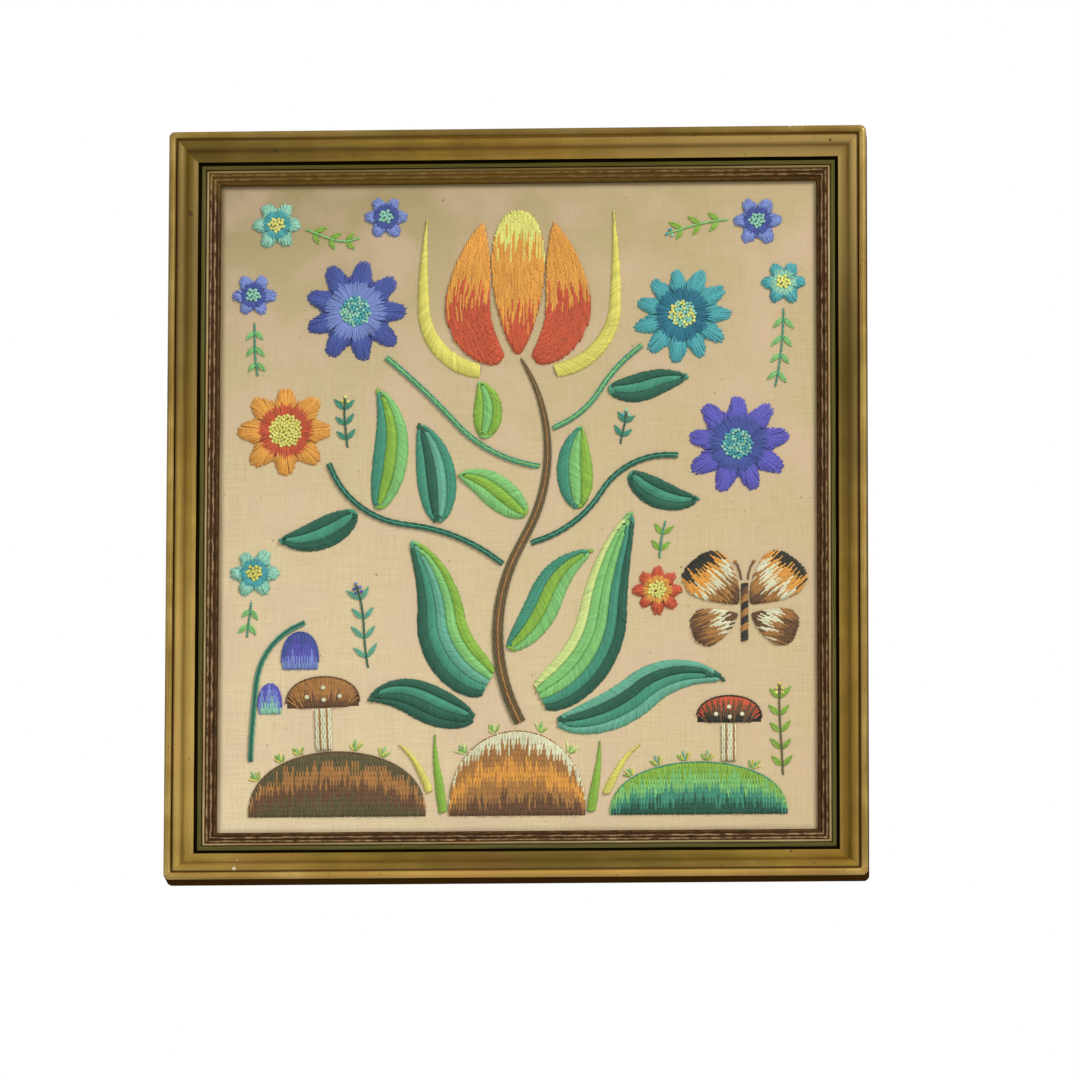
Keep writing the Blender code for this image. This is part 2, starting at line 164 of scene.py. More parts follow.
# The moulded frame
print("frame")
railShape = {
    "arcSteps": 10,
    "softCorner": 0.35,  # how far each arris is worn round
    "step": 6.0,  # along a rail
    "mitreGap": 0.10,
    "waviness": 0.09,  # how far old gesso and hand work leave the faces from true
    "lipWidth": 6.0,
    "width": 35.0,
    "wornCorner": 3.2,  # the radius that handling has given the frame's four outer corners
    "wornInward": 6.0,  # how far in from the outer edge that wear reaches
    "shownAbove": 9.5,  # the hidden faces below this height are left true
}
moulding = (
    # member, inward, height, bulge, finish of the stretch that ends here
    ("outer back edge", 0.0, 0.0, 0.0, "bareWood"),
    ("outer side", 0.0, 27.9, 0.0, "sideStain"),
    ("outer bead", 4.9, 27.5, 2.3, "beadGilt"),
    ("quirk wall", 4.9, 26.2, 0.0, "quirk"),
    ("quirk floor", 5.7, 26.2, 0.0, "quirk"),
    ("gilt edge", 5.7, 27.2, 0.0, "quirk"),
    ("gilt hollow, upper", 12.4, 23.5, 0.8, "gilt"),
    ("gilt hollow, lower", 19.7, 17.6, -0.9, "gilt"),
    ("dark step", 19.7, 15.3, 0.0, "blackLine"),
    ("dark floor", 21.9, 15.3, 0.0, "blackLine"),
    ("fillet wall", 21.9, 15.9, 0.0, "blackLine"),
    ("fillet", 24.7, 15.8, 0.2, "greenLine"),
    ("groove wall", 24.7, 15.1, 0.0, "blackLine"),
    ("groove floor", 25.3, 15.1, 0.0, "blackLine"),
    ("gilt line", 26.9, 15.0, 0.7, "paleGilt"),
    ("first reed", 29.6, 13.8, 0.45, "reeds"),
    ("second reed", 32.3, 12.3, 0.45, "reeds"),
    ("third reed", railShape["width"], 10.6, 0.45, "innerReed"),
    ("sight edge", railShape["width"], 8.9, 0.0, "sightEdge"),
    ("lip back", railShape["width"] - railShape["lipWidth"], 8.9, 0.0, "bareWood"),
    ("rabbet", railShape["width"] - railShape["lipWidth"], 0.0, 0.0, "bareWood"),
)
rails = (
    # name, turn about the frame's middle in degrees, length, distance from the middle
    ("rail_top", 0.0, frameWidth, frameHeight / 2),
    ("rail_right", 90.0, frameHeight, frameWidth / 2),
    ("rail_bottom", 180.0, frameWidth, frameHeight / 2),
    ("rail_left", 270.0, frameHeight, frameWidth / 2),
)


def arcPoints(start, end, bulge, steps):
    # an arc's points after start, each with how near its crown it is; it swells to the left of its direction
    if not bulge:
        return [(end, 0.0)]
    chord = end - start
    side = Vector((-chord.y, chord.x)).normalized()
    radius = (chord.length_squared / 4 + bulge**2) / (2 * abs(bulge))
    halfAngle = math.asin(min(1.0, chord.length / (2 * radius)))
    centre = (start + end) / 2 - side * math.copysign(radius - abs(bulge), bulge)
    first = start - centre
    turn = -2 * halfAngle * math.copysign(1.0, bulge) / steps
    found = []
    for i in range(1, steps + 1):
        found.append((centre + Matrix.Rotation(turn * i, 2) @ first, math.sin(math.pi * i / steps)))
    return found


def softened(outline, reach):
    # each sharp corner of a closed outline of (point, crown, finish) rows becomes three points
    result = []
    for i, (point, crown, finish) in enumerate(outline):
        before, after = outline[i - 1][0], outline[(i + 1) % len(outline)][0]
        into, out = point - before, after - point
        if into.angle(out) < math.radians(28):
            result.append((point, crown, finish))
            continue
        start = point - into.normalized() * min(reach, into.length * 0.4)
        end = point + out.normalized() * min(reach, out.length * 0.4)
        nextFinish = outline[(i + 1) % len(outline)][2]
        result += [(start, 0.0, finish), ((start + end) / 4 + point / 2, 0.0, finish), (end, 0.0, nextFinish)]
    return result


def railOutline():
    outline = []
    for _, inward, height, bulge, finish in moulding:
        corner = Vector((inward, height))
        if outline:
            stretch = arcPoints(outline[-1][0], corner, bulge, railShape["arcSteps"])
        else:
            stretch = [(corner, 0.0)]
        outline += [(point, crown, finish) for point, crown in stretch]
    return softened(outline, railShape["softCorner"])


paintedLightPatches = {
    # x, z, reach each way, share and colour: painted shade and painted highlights where the light on the
    # frame falls unevenly, darker at the top left, on the right rail, along the bottom and on the top rail's
    # bead, gilt line and fillet, lighter low on the left, at the top right, on the bottom bead and on the top
    # rail's reeds; the quirk's patches are partly gilding left in it and partly painted light against the
    # recess's shade
    "gilt": ((-242, 170, 260, 270, 0.75, "544402"), (242, 120, 230, 260, 0.75, "544402"),
             (30, -262, 260, 240, 0.72, "564402"), (-242, -150, 180, 210, 0.4, "C8A860"),
             (190, 262, 210, 200, 0.6, "C8A860"), (242, -230, 120, 120, 0.4, "8A6408")),
    "bead": ((0, 262, 380, 14, 0.6, "544402"), (-242, 150, 20, 200, 0.3, "544402"),
             (20, -262, 380, 14, 0.5, "DCAA50")),
    "line": ((0, 238, 380, 34, 0.75, "5C480E"),),
    "quirk": ((0, 257, 420, 14, 0.95, "B48E34"), (0, -257, 420, 14, 0.9, "A88434")),
    "green": ((0, 240, 380, 34, 0.5, "4A3E0C"),),
    "reeds": ((-60, 232, 380, 24, 0.65, "6E5214"),),
}
marks = (
    # x, z, radius and colour: chips down to the gesso, then knots and knocks that have gone dark
    (-193.4, -255.2, 1.25, "E4D4AC"), (-191.8, -248.6, 0.65, "CDBB8C"), (189.5, 262.3, 0.8, "D8C9A0"),
    (193.4, 262.5, 0.6, "D8C9A0"), (198.2, 262.4, 0.7, "D8C9A0"),
    (-168.4, 250.1, 1.1, "46380A"), (-227.3, 206.3, 1.9, "4E3C10"), (188.7, -244.5, 0.9, "4A3A0C"),
    (204.7, -254.0, 0.8, "4A3A0C"), (217.0, 253.0, 1.0, "5A4514"),
)


gilding = {
    # sizes in millimetres
    "streakLength": 70, "streakWidth": 2.2, "clouds": 28, "warmPatches": 60, "specks": 2.6, "tooth": 0.9,
    "raggedEdge": 1.8,
    "warm": "9A6C2A", "creaseShade": "54380A", "speck": "4A3010",
}
stain = {"grainLength": 45, "grainWidth": 1.4, "reedWidth": 2.85, "crestDash": 7}  # millimetres


# painted shade and painted highlights, mixed in patch by patch
def addPaintedLight(add, solid, colour, patches):
    for x, z, reachX, reachZ, most, hexColour in patches:
        place = add("Mapping", {"Location": (-x / reachX, 0.0, -(centreZ + z) / reachZ),
                                "Scale": (1000 / reachX, 0.0, 1000 / reachZ)}, {0: solid})
        away = add("VectorMath", {"operation": "LENGTH"}, {0: place})
        share = add("MapRange", {"interpolation_type": "SMOOTHERSTEP", "To Min": most, "To Max": 0.0},
                    {0: (away, "Value")})
        colour = add("Mix", {7: hexColour}, {0: share, 6: colour})
    return colour


def addMarks(add, solid, colour):
    ragged = add("TexNoise", {"Scale": 1000 / gilding["raggedEdge"], "Detail": 2.0}, {"Vector": solid})
    flat = add("VectorMath", {"operation": "MULTIPLY", 1: (1.0, 0.0, 1.0)}, {0: solid})
    for x, z, radius, hexColour in marks:
        centre = (x * mm, 0.0, (centreZ + z) * mm)
        inside, outside = radius * mm * 1.3, radius * mm * 1.8
        away = add("VectorMath", {"operation": "DISTANCE", 1: centre}, {0: flat})
        rough = add("Math", {"operation": "MULTIPLY_ADD", 1: inside}, {0: ragged, 2: (away, "Value")})
        share = add("MapRange", {"From Min": outside, "From Max": inside}, {0: rough})
        colour = add("Mix", {7: hexColour}, {0: share, 6: colour})
    return colour


def runTo(member):
    # how far round the moulding's outline a member ends
    end = next(Vector(row[1:3]) for row in moulding if row[0] == member)
    outline = [point for point, _, _ in railOutline()]
    near = min(range(len(outline)), key=lambda i: (outline[i] - end).length)
    return sum((outline[i + 1] - outline[i]).length for i in range(near))


def giltMaterial(name, stops, metallic, paintedLight, shadeRuns=()):
    # Bronze powder over gesso, burnished by hand and gone olive: a soft, streaky gleam, with painted shade
    # along the moulding's creases.
    material, add, shader = newMaterial(name, Metallic=metallic, Roughness=0.4)
    place = add("UVMap", {"uv_map": "railMap"})
    stretched = add("Mapping", {"Scale": (1 / gilding["streakLength"], 1 / gilding["streakWidth"], 1.0)},
                    {0: place})
    streaks = add("TexNoise", {"Scale": 1.0, "Detail": 5.0, "Roughness": 0.6}, {"Vector": stretched})
    solid = add("TexCoord")
    clouds = add("TexNoise", {"Scale": 1000 / gilding["clouds"], "Detail": 4.0}, {"Vector": solid})
    share = add("Math", {"operation": "MULTIPLY", 1: 0.55}, {0: clouds})
    both = add("Math", {"operation": "MULTIPLY_ADD", 1: 0.45}, {0: streaks, 2: share})
    colour = add("ValToRGB", {"stops": stops}, {0: both})
    warmth = add("TexNoise", {"Scale": 1000 / gilding["warmPatches"], "Detail": 2.0}, {"Vector": solid})
    warmShare = add("MapRange", {"From Min": 0.5, "From Max": 0.72, "To Max": 0.45}, {0: warmth})
    colour = add("Mix", {7: gilding["warm"]}, {0: warmShare, 6: colour})
    # painted shade and highlights where the frame's light falls unevenly
    colour = addPaintedLight(add, solid, colour, paintedLight)
    across = add("SeparateXYZ", links={0: place})
    # painted shade along the creases of the moulding, darkest at each run
    for run, reach, most in shadeRuns:
        near = add("Math", {"operation": "SUBTRACT", 1: run}, {0: (across, "Y")})
        away = add("Math", {"operation": "ABSOLUTE"}, {0: near})
        shadeShare = add("MapRange", {"interpolation_type": "SMOOTHERSTEP", "From Max": reach, "To Min": most,
                                 "To Max": 0.0}, {0: away})
        colour = add("Mix", {7: gilding["creaseShade"]}, {0: shadeShare, 6: colour})
    specks = add("TexNoise", {"Scale": 1000 / gilding["specks"], "Detail": 2.0}, {"Vector": solid})
    dots = add("ValToRGB", {"stops": ((0.235, "FFFFFF"), (0.27, "000000"))}, {0: specks})
    colour = add("Mix", {7: gilding["speck"]}, {0: dots, 6: colour})
    colour = addMarks(add, solid, colour)
    grain = add("Bump", {"Strength": 0.25, "Distance": 0.00012}, {"Height": streaks})
    tooth = add("TexNoise", {"Scale": 1000 / gilding["tooth"], "Detail": 3.0}, {"Vector": solid})
    fine = add("Bump", {"Strength": 0.3, "Distance": 0.00005}, {"Height": tooth, "Normal": grain})
    feed(shader, {"Base Color": colour, "Normal": fine})
    return material


def stainMaterial(name, stops, roughness, crestRubAndHighlight=None, paintedLight=()):
    # Wood stained and waxed: colour follows the grain. Along the crests it turns lighter in dashes, partly
    # gold rubbed through and partly a painted highlight.
    material, add, shader = newMaterial(name, Roughness=roughness, Specular_IOR_Level=0.15 if crestRubAndHighlight else 0.0)
    place = add("UVMap", {"uv_map": "railMap"})
    grainMap = add("Mapping", {"Scale": (1 / stain["grainLength"], 1 / stain["grainWidth"], 1.0)}, {0: place})
    grain = add("TexNoise", {"Scale": 1.0, "Detail": 5.0, "Roughness": 0.62}, {"Vector": grainMap})
    colour = add("ValToRGB", {"stops": stops}, {0: grain})
    if crestRubAndHighlight:
        crown = add("Attribute", {"attribute_name": "crown"})
        split = add("SeparateXYZ", links={0: place})
        reed = add("Math", {"operation": "SNAP", 1: stain["reedWidth"]}, {0: (split, "Y")})
        spread = add("Math", {"operation": "MULTIPLY", 1: 19.0}, {0: reed})
        patchMap = add("CombineXYZ", links={0: (split, "X"), 1: spread})
        patches = add("TexNoise", {"Scale": 1 / stain["crestDash"], "Detail": 5.0}, {"Vector": patchMap})
        kept = add("MapRange", {"From Min": 0.3, "From Max": 0.7, "To Min": 0.55, "To Max": 1.15},
                   {0: patches})
        amount = add("Math", {"operation": "MULTIPLY"}, {0: (crown, "Fac"), 1: kept})
        shown = add("ValToRGB", {"stops": ((0.64, "000000"), (1.0, "F0F0F0"))}, {0: amount})
        colour = add("Mix", {7: crestRubAndHighlight}, {0: shown, 6: colour})
    solid = add("TexCoord")
    # painted shade and highlights where the frame's light falls unevenly
    colour = addPaintedLight(add, solid, colour, paintedLight)
    bump = add("Bump", {"Strength": 0.35, "Distance": 0.0001}, {"Height": grain})
    feed(shader, {"Base Color": colour, "Normal": bump})
    return material


creaseShade = {
    # painted shade in the moulding's creases, in the hollow's valley and beside the quirk: how far round the
    # moulding, how far to each side, and how dark
    "hollow": (runTo("gilt hollow, upper"), 3.6, 0.5), "quirk": (runTo("gilt edge"), 1.5, 0.9),
    "bead": (runTo("outer bead"), 1.5, 0.95),
}
gilts = (
    # finish, material, dark, middle and light of the gilding, metallic, painted light patches, painted crease
    # shade
    ("gilt", "bronzeGiltGesso", "7A5A08", "94741A", "AC8C34", 0.35, "gilt", ("hollow", "quirk")),
    ("beadGilt", "bronzeGiltBead", "7C5C16", "9E8036", "C2A45A", 0.35, "bead", ("bead",)),
    ("paleGilt", "bronzeGiltLine", "8C7446", "A8905E", "C0A978", 0.3, "line", ()),
)
stains = (
    # finish, material, dark and light of the grain, roughness, colour of the crests (rubbed gold with a
    # painted highlight), painted light patches
    ("quirk", "redBrownStain", "3E2404", "5A3A0A", 0.7, None, "quirk"),
    ("blackLine", "blackStain", "0B0700", "1A1304", 0.8, None, None),
    ("greenLine", "greenBronzePaint", "4A4720", "666036", 0.6, None, "green"),
    ("reeds", "walnutStain", "241000", "4C2A0C", 0.6, "A88C60", "reeds"),
    ("innerReed", "walnutStainDark", "241202", "422906", 0.6, "66481C", "reeds"),
    ("sightEdge", "sightEdgeStain", "1E0F02", "352004", 0.7, None, None),
    ("sideStain", "sideStain", "32200A", "4A3010", 0.7, None, None),
    ("bareWood", "barePine", "B08A5A", "D0AF80", 0.75, None, None),
)
finishes = {}
for finish, name, dark, middle, light, metallic, paintedLight, shadeRuns in gilts:
    stops = ((0.30, dark), (0.5, middle), (0.68, light))
    finishes[finish] = giltMaterial(name, stops, metallic, paintedLightPatches[paintedLight], [creaseShade[place] for place in shadeRuns])
for finish, name, dark, light, roughness, crestRubAndHighlight, paintedLight in stains:
    stops = ((0.3, dark), (0.7, light))
    finishes[finish] = stainMaterial(name, stops, roughness, crestRubAndHighlight, paintedLightPatches.get(paintedLight, ()))
finishNames = list(finishes)


def addRail(name, turn, length, reach):
    outline = railOutline()
    count = len(outline)
    steps = round(length / railShape["step"])
    points, crowns = [], []
    worn = railShape["wornCorner"]
    diagonal = 0.293  # where a round corner crosses the mitre, as a share of its radius
    places = np.linspace(-1.0, 1.0, steps + 1)
    nearEnds = 1 - np.array((0.12, 0.3, 0.55, 0.8)) * 2 * worn / length
    places = np.sort(np.concatenate((places, nearEnds, -nearEnds)))
    steps = len(places) - 1
    for s in places:
        fromCorner = max((1 - abs(s)) * length / 2, worn * diagonal)
        cut = worn - math.sqrt(max(0.0, worn**2 - max(0.0, worn - fromCorner) ** 2))
        for point, crown, finish in outline:
            inset = point.x + cut * max(0.0, 1 - point.x / railShape["wornInward"])
            x = s * (length / 2 - inset - railShape["mitreGap"] / 2)
            shown = point.y > railShape["shownAbove"]
            wave = railShape["waviness"] * shown
            here = Vector((x / 26 + turn, point.x / 7, point.y / 7))
            inward = inset + wave * noise.noise(here) * (point.x > 1.0)
            height = point.y + wave * noise.noise(here + Vector((31.0, 7.0, 3.0)))
            points.append((x * mm, -height * mm, (reach - inward) * mm))
            crowns.append(crown)
    faces, kinds, corners = [], [], []
    run = [0.0]
    for i in range(count):
        run.append(run[-1] + (outline[(i + 1) % count][0] - outline[i][0]).length)
    for j in range(steps):
        for i in range(count):
            k = (i + 1) % count
            face = (j * count + i, j * count + k, (j + 1) * count + k, (j + 1) * count + i)
            faces.append(face)
            kinds.append(finishNames.index(outline[k][2]))
            corners += [(points[face[0]][0], run[i]), (points[face[1]][0], run[i + 1]),
                        (points[face[2]][0], run[i + 1]), (points[face[3]][0], run[i])]
    for first in (0, steps * count):
        face = tuple(range(first, first + count))
        faces.append(face if first else face[::-1])
        kinds.append(finishNames.index("bareWood"))
        corners += [(outline[i % count][0].x * mm, outline[i % count][0].y) for i in face]
    mesh = bpy.data.meshes.new(name)
    mesh.from_pydata(points, [], faces)
    for finish in finishNames:
        mesh.materials.append(finishes[finish])
    mesh.polygons.foreach_set("material_index", kinds)
    flat = np.array(corners)
    flat[:, 0] /= mm
    mesh.uv_layers.new(name="railMap").data.foreach_set("uv", flat.ravel())
    bakeMap = np.column_stack((flat[:, 0] / length + 0.5, flat[:, 1] / run[-1]))
    mesh.uv_layers.new(name="OFBake").data.foreach_set("uv", bakeMap.ravel())
    mesh.attributes.new("crown", "FLOAT", "POINT").data.foreach_set("value", crowns)
    place = Matrix.Translation((0.0, 0.0, centreZ * mm)) @ Matrix.Rotation(math.radians(turn), 4, "Y")
    mesh.transform(place)
    setSmooth(mesh, 40.0)
    piece = addPiece(name + "_gilded", mesh)
    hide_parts(name)


def setSmooth(mesh, angle):
    bm = bmesh.new()
    bm.from_mesh(mesh)
    bmesh.ops.recalc_face_normals(bm, faces=bm.faces)
    bm.to_mesh(mesh)
    bm.free()
    mesh.shade_smooth()
    mesh.set_sharp_from_angle(angle=math.radians(angle))


def addPiece(name, mesh):
    piece = bpy.data.objects.new(name, mesh)
    bpy.context.scene.collection.objects.link(piece)
    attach(piece, "root")
    return piece


for railRow in rails:
    addRail(*railRow)


# The linen and the board behind it
print("linen")
linen = {
    "step": 3.0,
    "thickness": 0.9,
    "pucker": 0.1,  # how far the stitching draws the cloth in and out
    "puckerSize": 24.0,
    "threadPitch": 1.1,  # the real one is about 0.5; finer than this doesn't show at the render's scale
    "coolTop": "C5B184", "warmBottom": "DCC598", "litLowerLeft": "F2DEB4", "shadedUpperLeft": "8E8056",
    "slub": "A8905F", "blush": "DCBCA4", "hole": "8A744A", "speck": "6B5330", "edge": "6E5A30",
    "slubLength": 26, "slubWidth": 1.1, "blushPatch": 48,
    # how far in the painted shade along the frame's edge reaches
    "edgeShade": 5.0,
}
sheetWidth = (linenHigh.x - linenLow.x) / mm
sheetHeight = (linenHigh.z - linenLow.z) / mm


def addEdgeShade(add, split, mottle, colour):
    # painted shade: the cloth is darker along the frame's edge, where the lip shades it, most along the top
    # and the left
    across = (frameWidth / 2 - railShape["width"]) * mm
    middle = centreZ * mm
    up = (frameHeight / 2 - railShape["width"]) * mm
    reach = linen["edgeShade"] * mm
    shares = []
    for axis, edge, inward, most in (("X", -across, 1, 0.75), ("X", across, -1, 0.4),
                                     ("Z", middle + up, -1, 0.6), ("Z", middle - up, 1, 0.3)):
        settings = {"interpolation_type": "SMOOTHERSTEP", "From Min": edge, "From Max": edge + inward * reach,
                    "To Min": most, "To Max": 0.0}
        shares.append(add("MapRange", settings, {"Value": (split, axis)}))
    total = shares[0]
    for share in shares[1:]:
        total = add("Math", {"operation": "MAXIMUM"}, {0: total, 1: share})
    uneven = add("MapRange", {"From Min": 0.3, "From Max": 0.7, "To Min": 0.7, "To Max": 1.1}, {0: mottle})
    amount = add("Math", {"operation": "MULTIPLY"}, {0: total, 1: uneven})
    return add("Mix", {7: linen["edge"]}, {0: amount, 6: colour})


def linenMaterial():
    # Natural flax in plain weave, washed and stretched: matt, uneven threads, and slubs along both ways.
    material, add, shader = newMaterial("plainWovenLinen", Roughness=0.92, Sheen_Weight=0.12,
                                        Sheen_Roughness=0.6)
    solid = add("TexCoord")
    scale = 1 / (linen["threadPitch"] * mm)
    threads = add("Mapping", {"Scale": (scale, scale, scale)}, {0: solid})
    wobble = add("TexNoise", {"Scale": 1000 / 14, "Detail": 2.0}, {"Vector": solid})
    shifted = add("VectorMath", {"operation": "MULTIPLY_ADD", 1: (1.6, 1.6, 1.6)},
                  {0: (wobble, "Color"), 2: threads})
    ways = []
    for way in ("X", "Z"):
        ways.append(add("TexWave", {"wave_type": "BANDS", "bands_direction": way, "Scale": 3.14 / 6.2832},
                        {"Vector": shifted}))
    weave = add("Math", {"operation": "MULTIPLY"}, {0: (ways[0], "Fac"), 1: (ways[1], "Fac")})
    slubMaps = []
    long, thin = 1000 / linen["slubLength"], 1000 / linen["slubWidth"]
    for size in ((long, 1.0, thin), (thin, 1.0, long)):
        slubMap = add("Mapping", {"Scale": size}, {0: solid})
        slubMaps.append(add("TexNoise", {"Scale": 1.0, "Detail": 3.0}, {"Vector": slubMap}))
    slubs = add("Math", {"operation": "ADD"}, {0: (slubMaps[0], 0), 1: (slubMaps[1], 0)})
    mottle = add("TexNoise", {"Scale": 1000 / linen["blushPatch"], "Detail": 5.0}, {"Vector": solid})
    split = add("SeparateXYZ", links={0: solid})
    # painted light: the ground is darker towards the top and darkest at the upper left, and lighter at the
    # bottom and the lower left, as the light falls across the cloth
    rise = add("MapRange", {"From Min": linenLow.z, "From Max": linenHigh.z}, {"Value": (split, "Z")})
    ground = add("Mix", {6: linen["warmBottom"], 7: linen["coolTop"]}, {0: rise})
    leftward = add("MapRange", {"From Min": linenHigh.x, "From Max": linenLow.x}, {"Value": (split, "X")})
    high = add("Math", {"operation": "POWER", 1: 3.0}, {0: rise})
    corner = add("Math", {"operation": "MULTIPLY"}, {0: leftward, 1: high})
    paintedLight = add("Mix", {7: linen["shadedUpperLeft"]}, {0: corner, 6: ground})
    low = add("Math", {"operation": "SUBTRACT", 0: 1.0}, {1: rise})
    lowLeft = add("Math", {"operation": "MULTIPLY"}, {0: leftward, 1: low})
    paintedLight = add("Mix", {7: linen["litLowerLeft"]}, {0: lowLeft, 6: paintedLight})
    darkShare = add("MapRange", {"From Min": 0.8, "From Max": 1.25, "To Min": 0.0, "To Max": 0.28},
                    {"Value": slubs})
    withSlubs = add("Mix", {7: linen["slub"]}, {0: darkShare, 6: paintedLight})
    mottleShare = add("MapRange", {"From Min": 0.42, "From Max": 0.66, "To Min": 0.0, "To Max": 0.42},
                      {"Value": mottle})
    withMottle = add("Mix", {7: linen["blush"]}, {0: mottleShare, 6: withSlubs})
    holes = add("MapRange", {"From Min": 0.0, "From Max": 0.5, "To Min": 0.11, "To Max": 0.0},
                {"Value": weave})
    woven = add("Mix", {7: linen["hole"]}, {0: holes, 6: withMottle})
    specks = add("TexNoise", {"Scale": 1000 / 3.0, "Detail": 1.0}, {"Vector": solid})
    dots = add("MapRange", {"From Min": 0.25, "From Max": 0.2, "To Min": 0.0, "To Max": 0.7},
               {"Value": specks})
    done = add("Mix", {7: linen["speck"]}, {0: dots, 6: woven})
    edgeShade = addEdgeShade(add, split, mottle, done)
    relief = add("Math", {"operation": "MULTIPLY_ADD", 1: 0.5}, {0: slubs, 2: weave})
    bump = add("Bump", {"Strength": 0.5, "Distance": 0.0002}, {"Height": relief})
    feed(shader, {"Base Color": edgeShade, "Normal": bump})
    return material


def addLinen():
    # one closed sheet: its front and its back are grids that follow the same puckers
    across = round(sheetWidth / linen["step"])
    up = round(sheetHeight / linen["step"])
    points = []
    for side in (1, 0):
        for j in range(up + 1):
            for i in range(across + 1):
                x = (i / across - 0.5) * sheetWidth
                z = (j / up - 0.5) * sheetHeight
                place = Vector((x, z, 5.0)) / linen["puckerSize"]
                wave = linen["pucker"] * (noise.noise(place) - 0.5)
                height = linenFront + wave - (0 if side else linen["thickness"])
                points.append((x * mm, -height * mm, (centreZ + z) * mm))
    row, sheet = across + 1, (across + 1) * (up + 1)
    faces = []
    for j in range(up):
        for i in range(across):
            a = j * row + i
            faces.append((a, a + 1, a + row + 1, a + row))
            faces.append((sheet + a, sheet + a + row, sheet + a + row + 1, sheet + a + 1))
    rim = list(range(row)) + [j * row + across for j in range(1, up + 1)]
    rim += [up * row + i for i in range(across - 1, -1, -1)] + [j * row for j in range(up - 1, 0, -1)]
    for i, a in enumerate(rim):
        b = rim[(i + 1) % len(rim)]
        faces.append((a, sheet + a, sheet + b, b))
    mesh = bpy.data.meshes.new("linen")
    mesh.from_pydata(points, [], faces)
    mesh.materials.append(linenMaterial())
    setSmooth(mesh, 40.0)
    piece = addPiece("linen_ground", mesh)
    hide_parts("linen")


def boardMaterial():
    # Hardboard pressed from steamed fibre: brown, flecked, smooth on one face.
    material, add, shader = newMaterial("pressedHardboard", Roughness=0.6)
    solid = add("TexCoord")
    fibres = add("TexNoise", {"Scale": 1000 / 2.0, "Detail": 6.0, "Roughness": 0.7}, {"Vector": solid})
    ramp = add("ValToRGB", {"stops": ((0.35, "4E3520"), (0.5, "6F4F32"), (0.68, "8D6B48"))}, {0: fibres})
    bump = add("Bump", {"Strength": 0.3, "Distance": 0.0001}, {"Height": fibres})
    feed(shader, {"Base Color": ramp, "Normal": bump})
    return material


addLinen()
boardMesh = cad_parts["backing_board"].data
boardMesh.materials.clear()
boardMesh.materials.append(boardMaterial())


# The wool
print("wool")
wool = {
    "pitch": 1.0,  # from one thread to the next
    "width": 1.28,
    "thickness": 0.9,
    "twist": 2.6,  # length of one turn of the two plies
    "knotWidth": 2.3,
    "unevenEnds": 0.3,  # how far a stitch's end strays from the drawn edge
    "tone": 0.6, "toneSpread": 0.06,  # from 0, the dark side of the colour, to 1
    # the underlay's low tone is painted shade in the grooves between ribs and petals
    "underlayShadeTone": 0.34, "knotTone": 0.62, "edgeTone": 0.55,
}
woolColours = {
    "darkGreen": "1F5C45", "tealGreen": "3F8F72", "seaGreen": "62A98C", "lime": "86B23C",
    "leafGreen": "7FBF6E", "yellow": "D6CF62", "paleLime": "C9DA86", "blue": "43539A",
    "periwinkle": "7688C4", "violet": "5B58B4", "teal": "1E6E84", "turquoise": "48A0A4",
    "mint": "8CC6AC", "orange": "F09A3E", "rust": "C4532F", "sunYellow": "F1DD74",
    "brown": "6B4A2A", "olive": "5E5530", "tan": "A8763A", "cream": "EFE0B4",
    "nearBlack": "2B2A1C",
}


def woolMaterial(name, hexColour):
    # Two-ply worsted crewel wool, dyed in the hank: matt, a little fuzzy, with a soft bloom at grazing light.
    material, add, shader = newMaterial("crewelWool" + name[0].upper() + name[1:], Roughness=0.85,
                                        Sheen_Weight=0.25, Sheen_Roughness=0.45)
    base = toLinear(hexColour)
    dark = tuple(c * 0.30 for c in base[:3]) + (1.0,)
    light = tuple(min(1.0, c * 1.45 + 0.01) for c in base[:3]) + (1.0,)
    tone = add("Attribute", {"attribute_name": "tone"})
    solid = add("TexCoord")
    faded = add("TexNoise", {"Scale": 1000 / 18, "Detail": 2.0}, {"Vector": solid})
    fadedShare = add("MapRange", {"To Min": -0.14, "To Max": 0.14}, {"Value": faded})
    fibres = add("TexNoise", {"Scale": 1000 / 0.8, "Detail": 2.0}, {"Vector": solid})
    fibreShare = add("MapRange", {"To Min": -0.2, "To Max": 0.2}, {"Value": fibres})
    sums = add("Math", {"operation": "ADD"}, {0: fadedShare, 1: fibreShare})
    shade = add("Math", {"operation": "ADD", "use_clamp": True}, {0: (tone, "Fac"), 1: sums})
    colour = add("Mix", {6: dark, 7: light}, {0: shade})
    place = add("UVMap", {"uv_map": "threadMap"})
    twistMap = add("Mapping", {"Scale": (1 / wool["twist"], 1 / (wool["width"] * 1.2), 1.0)}, {0: place})
    plies = add("TexWave", {"wave_type": "BANDS", "bands_direction": "DIAGONAL", "Scale": 0.45,
                            "Distortion": 1.2, "Detail": 1.0}, {"Vector": twistMap})
    twist = add("Bump", {"Strength": 0.5, "Distance": 0.0002}, {"Height": (plies, "Fac")})
    fuzz = add("Bump", {"Strength": 0.4, "Distance": 0.0001}, {"Height": fibres, "Normal": twist})
    feed(shader, {"Base Color": colour, "Normal": fuzz})
    return material


woolMaterials = {name: woolMaterial(name, hexColour) for name, hexColour in woolColours.items()}
woolNames = list(woolColours)

tuck = -0.05  # the height of a thread's middle where it goes into the cloth

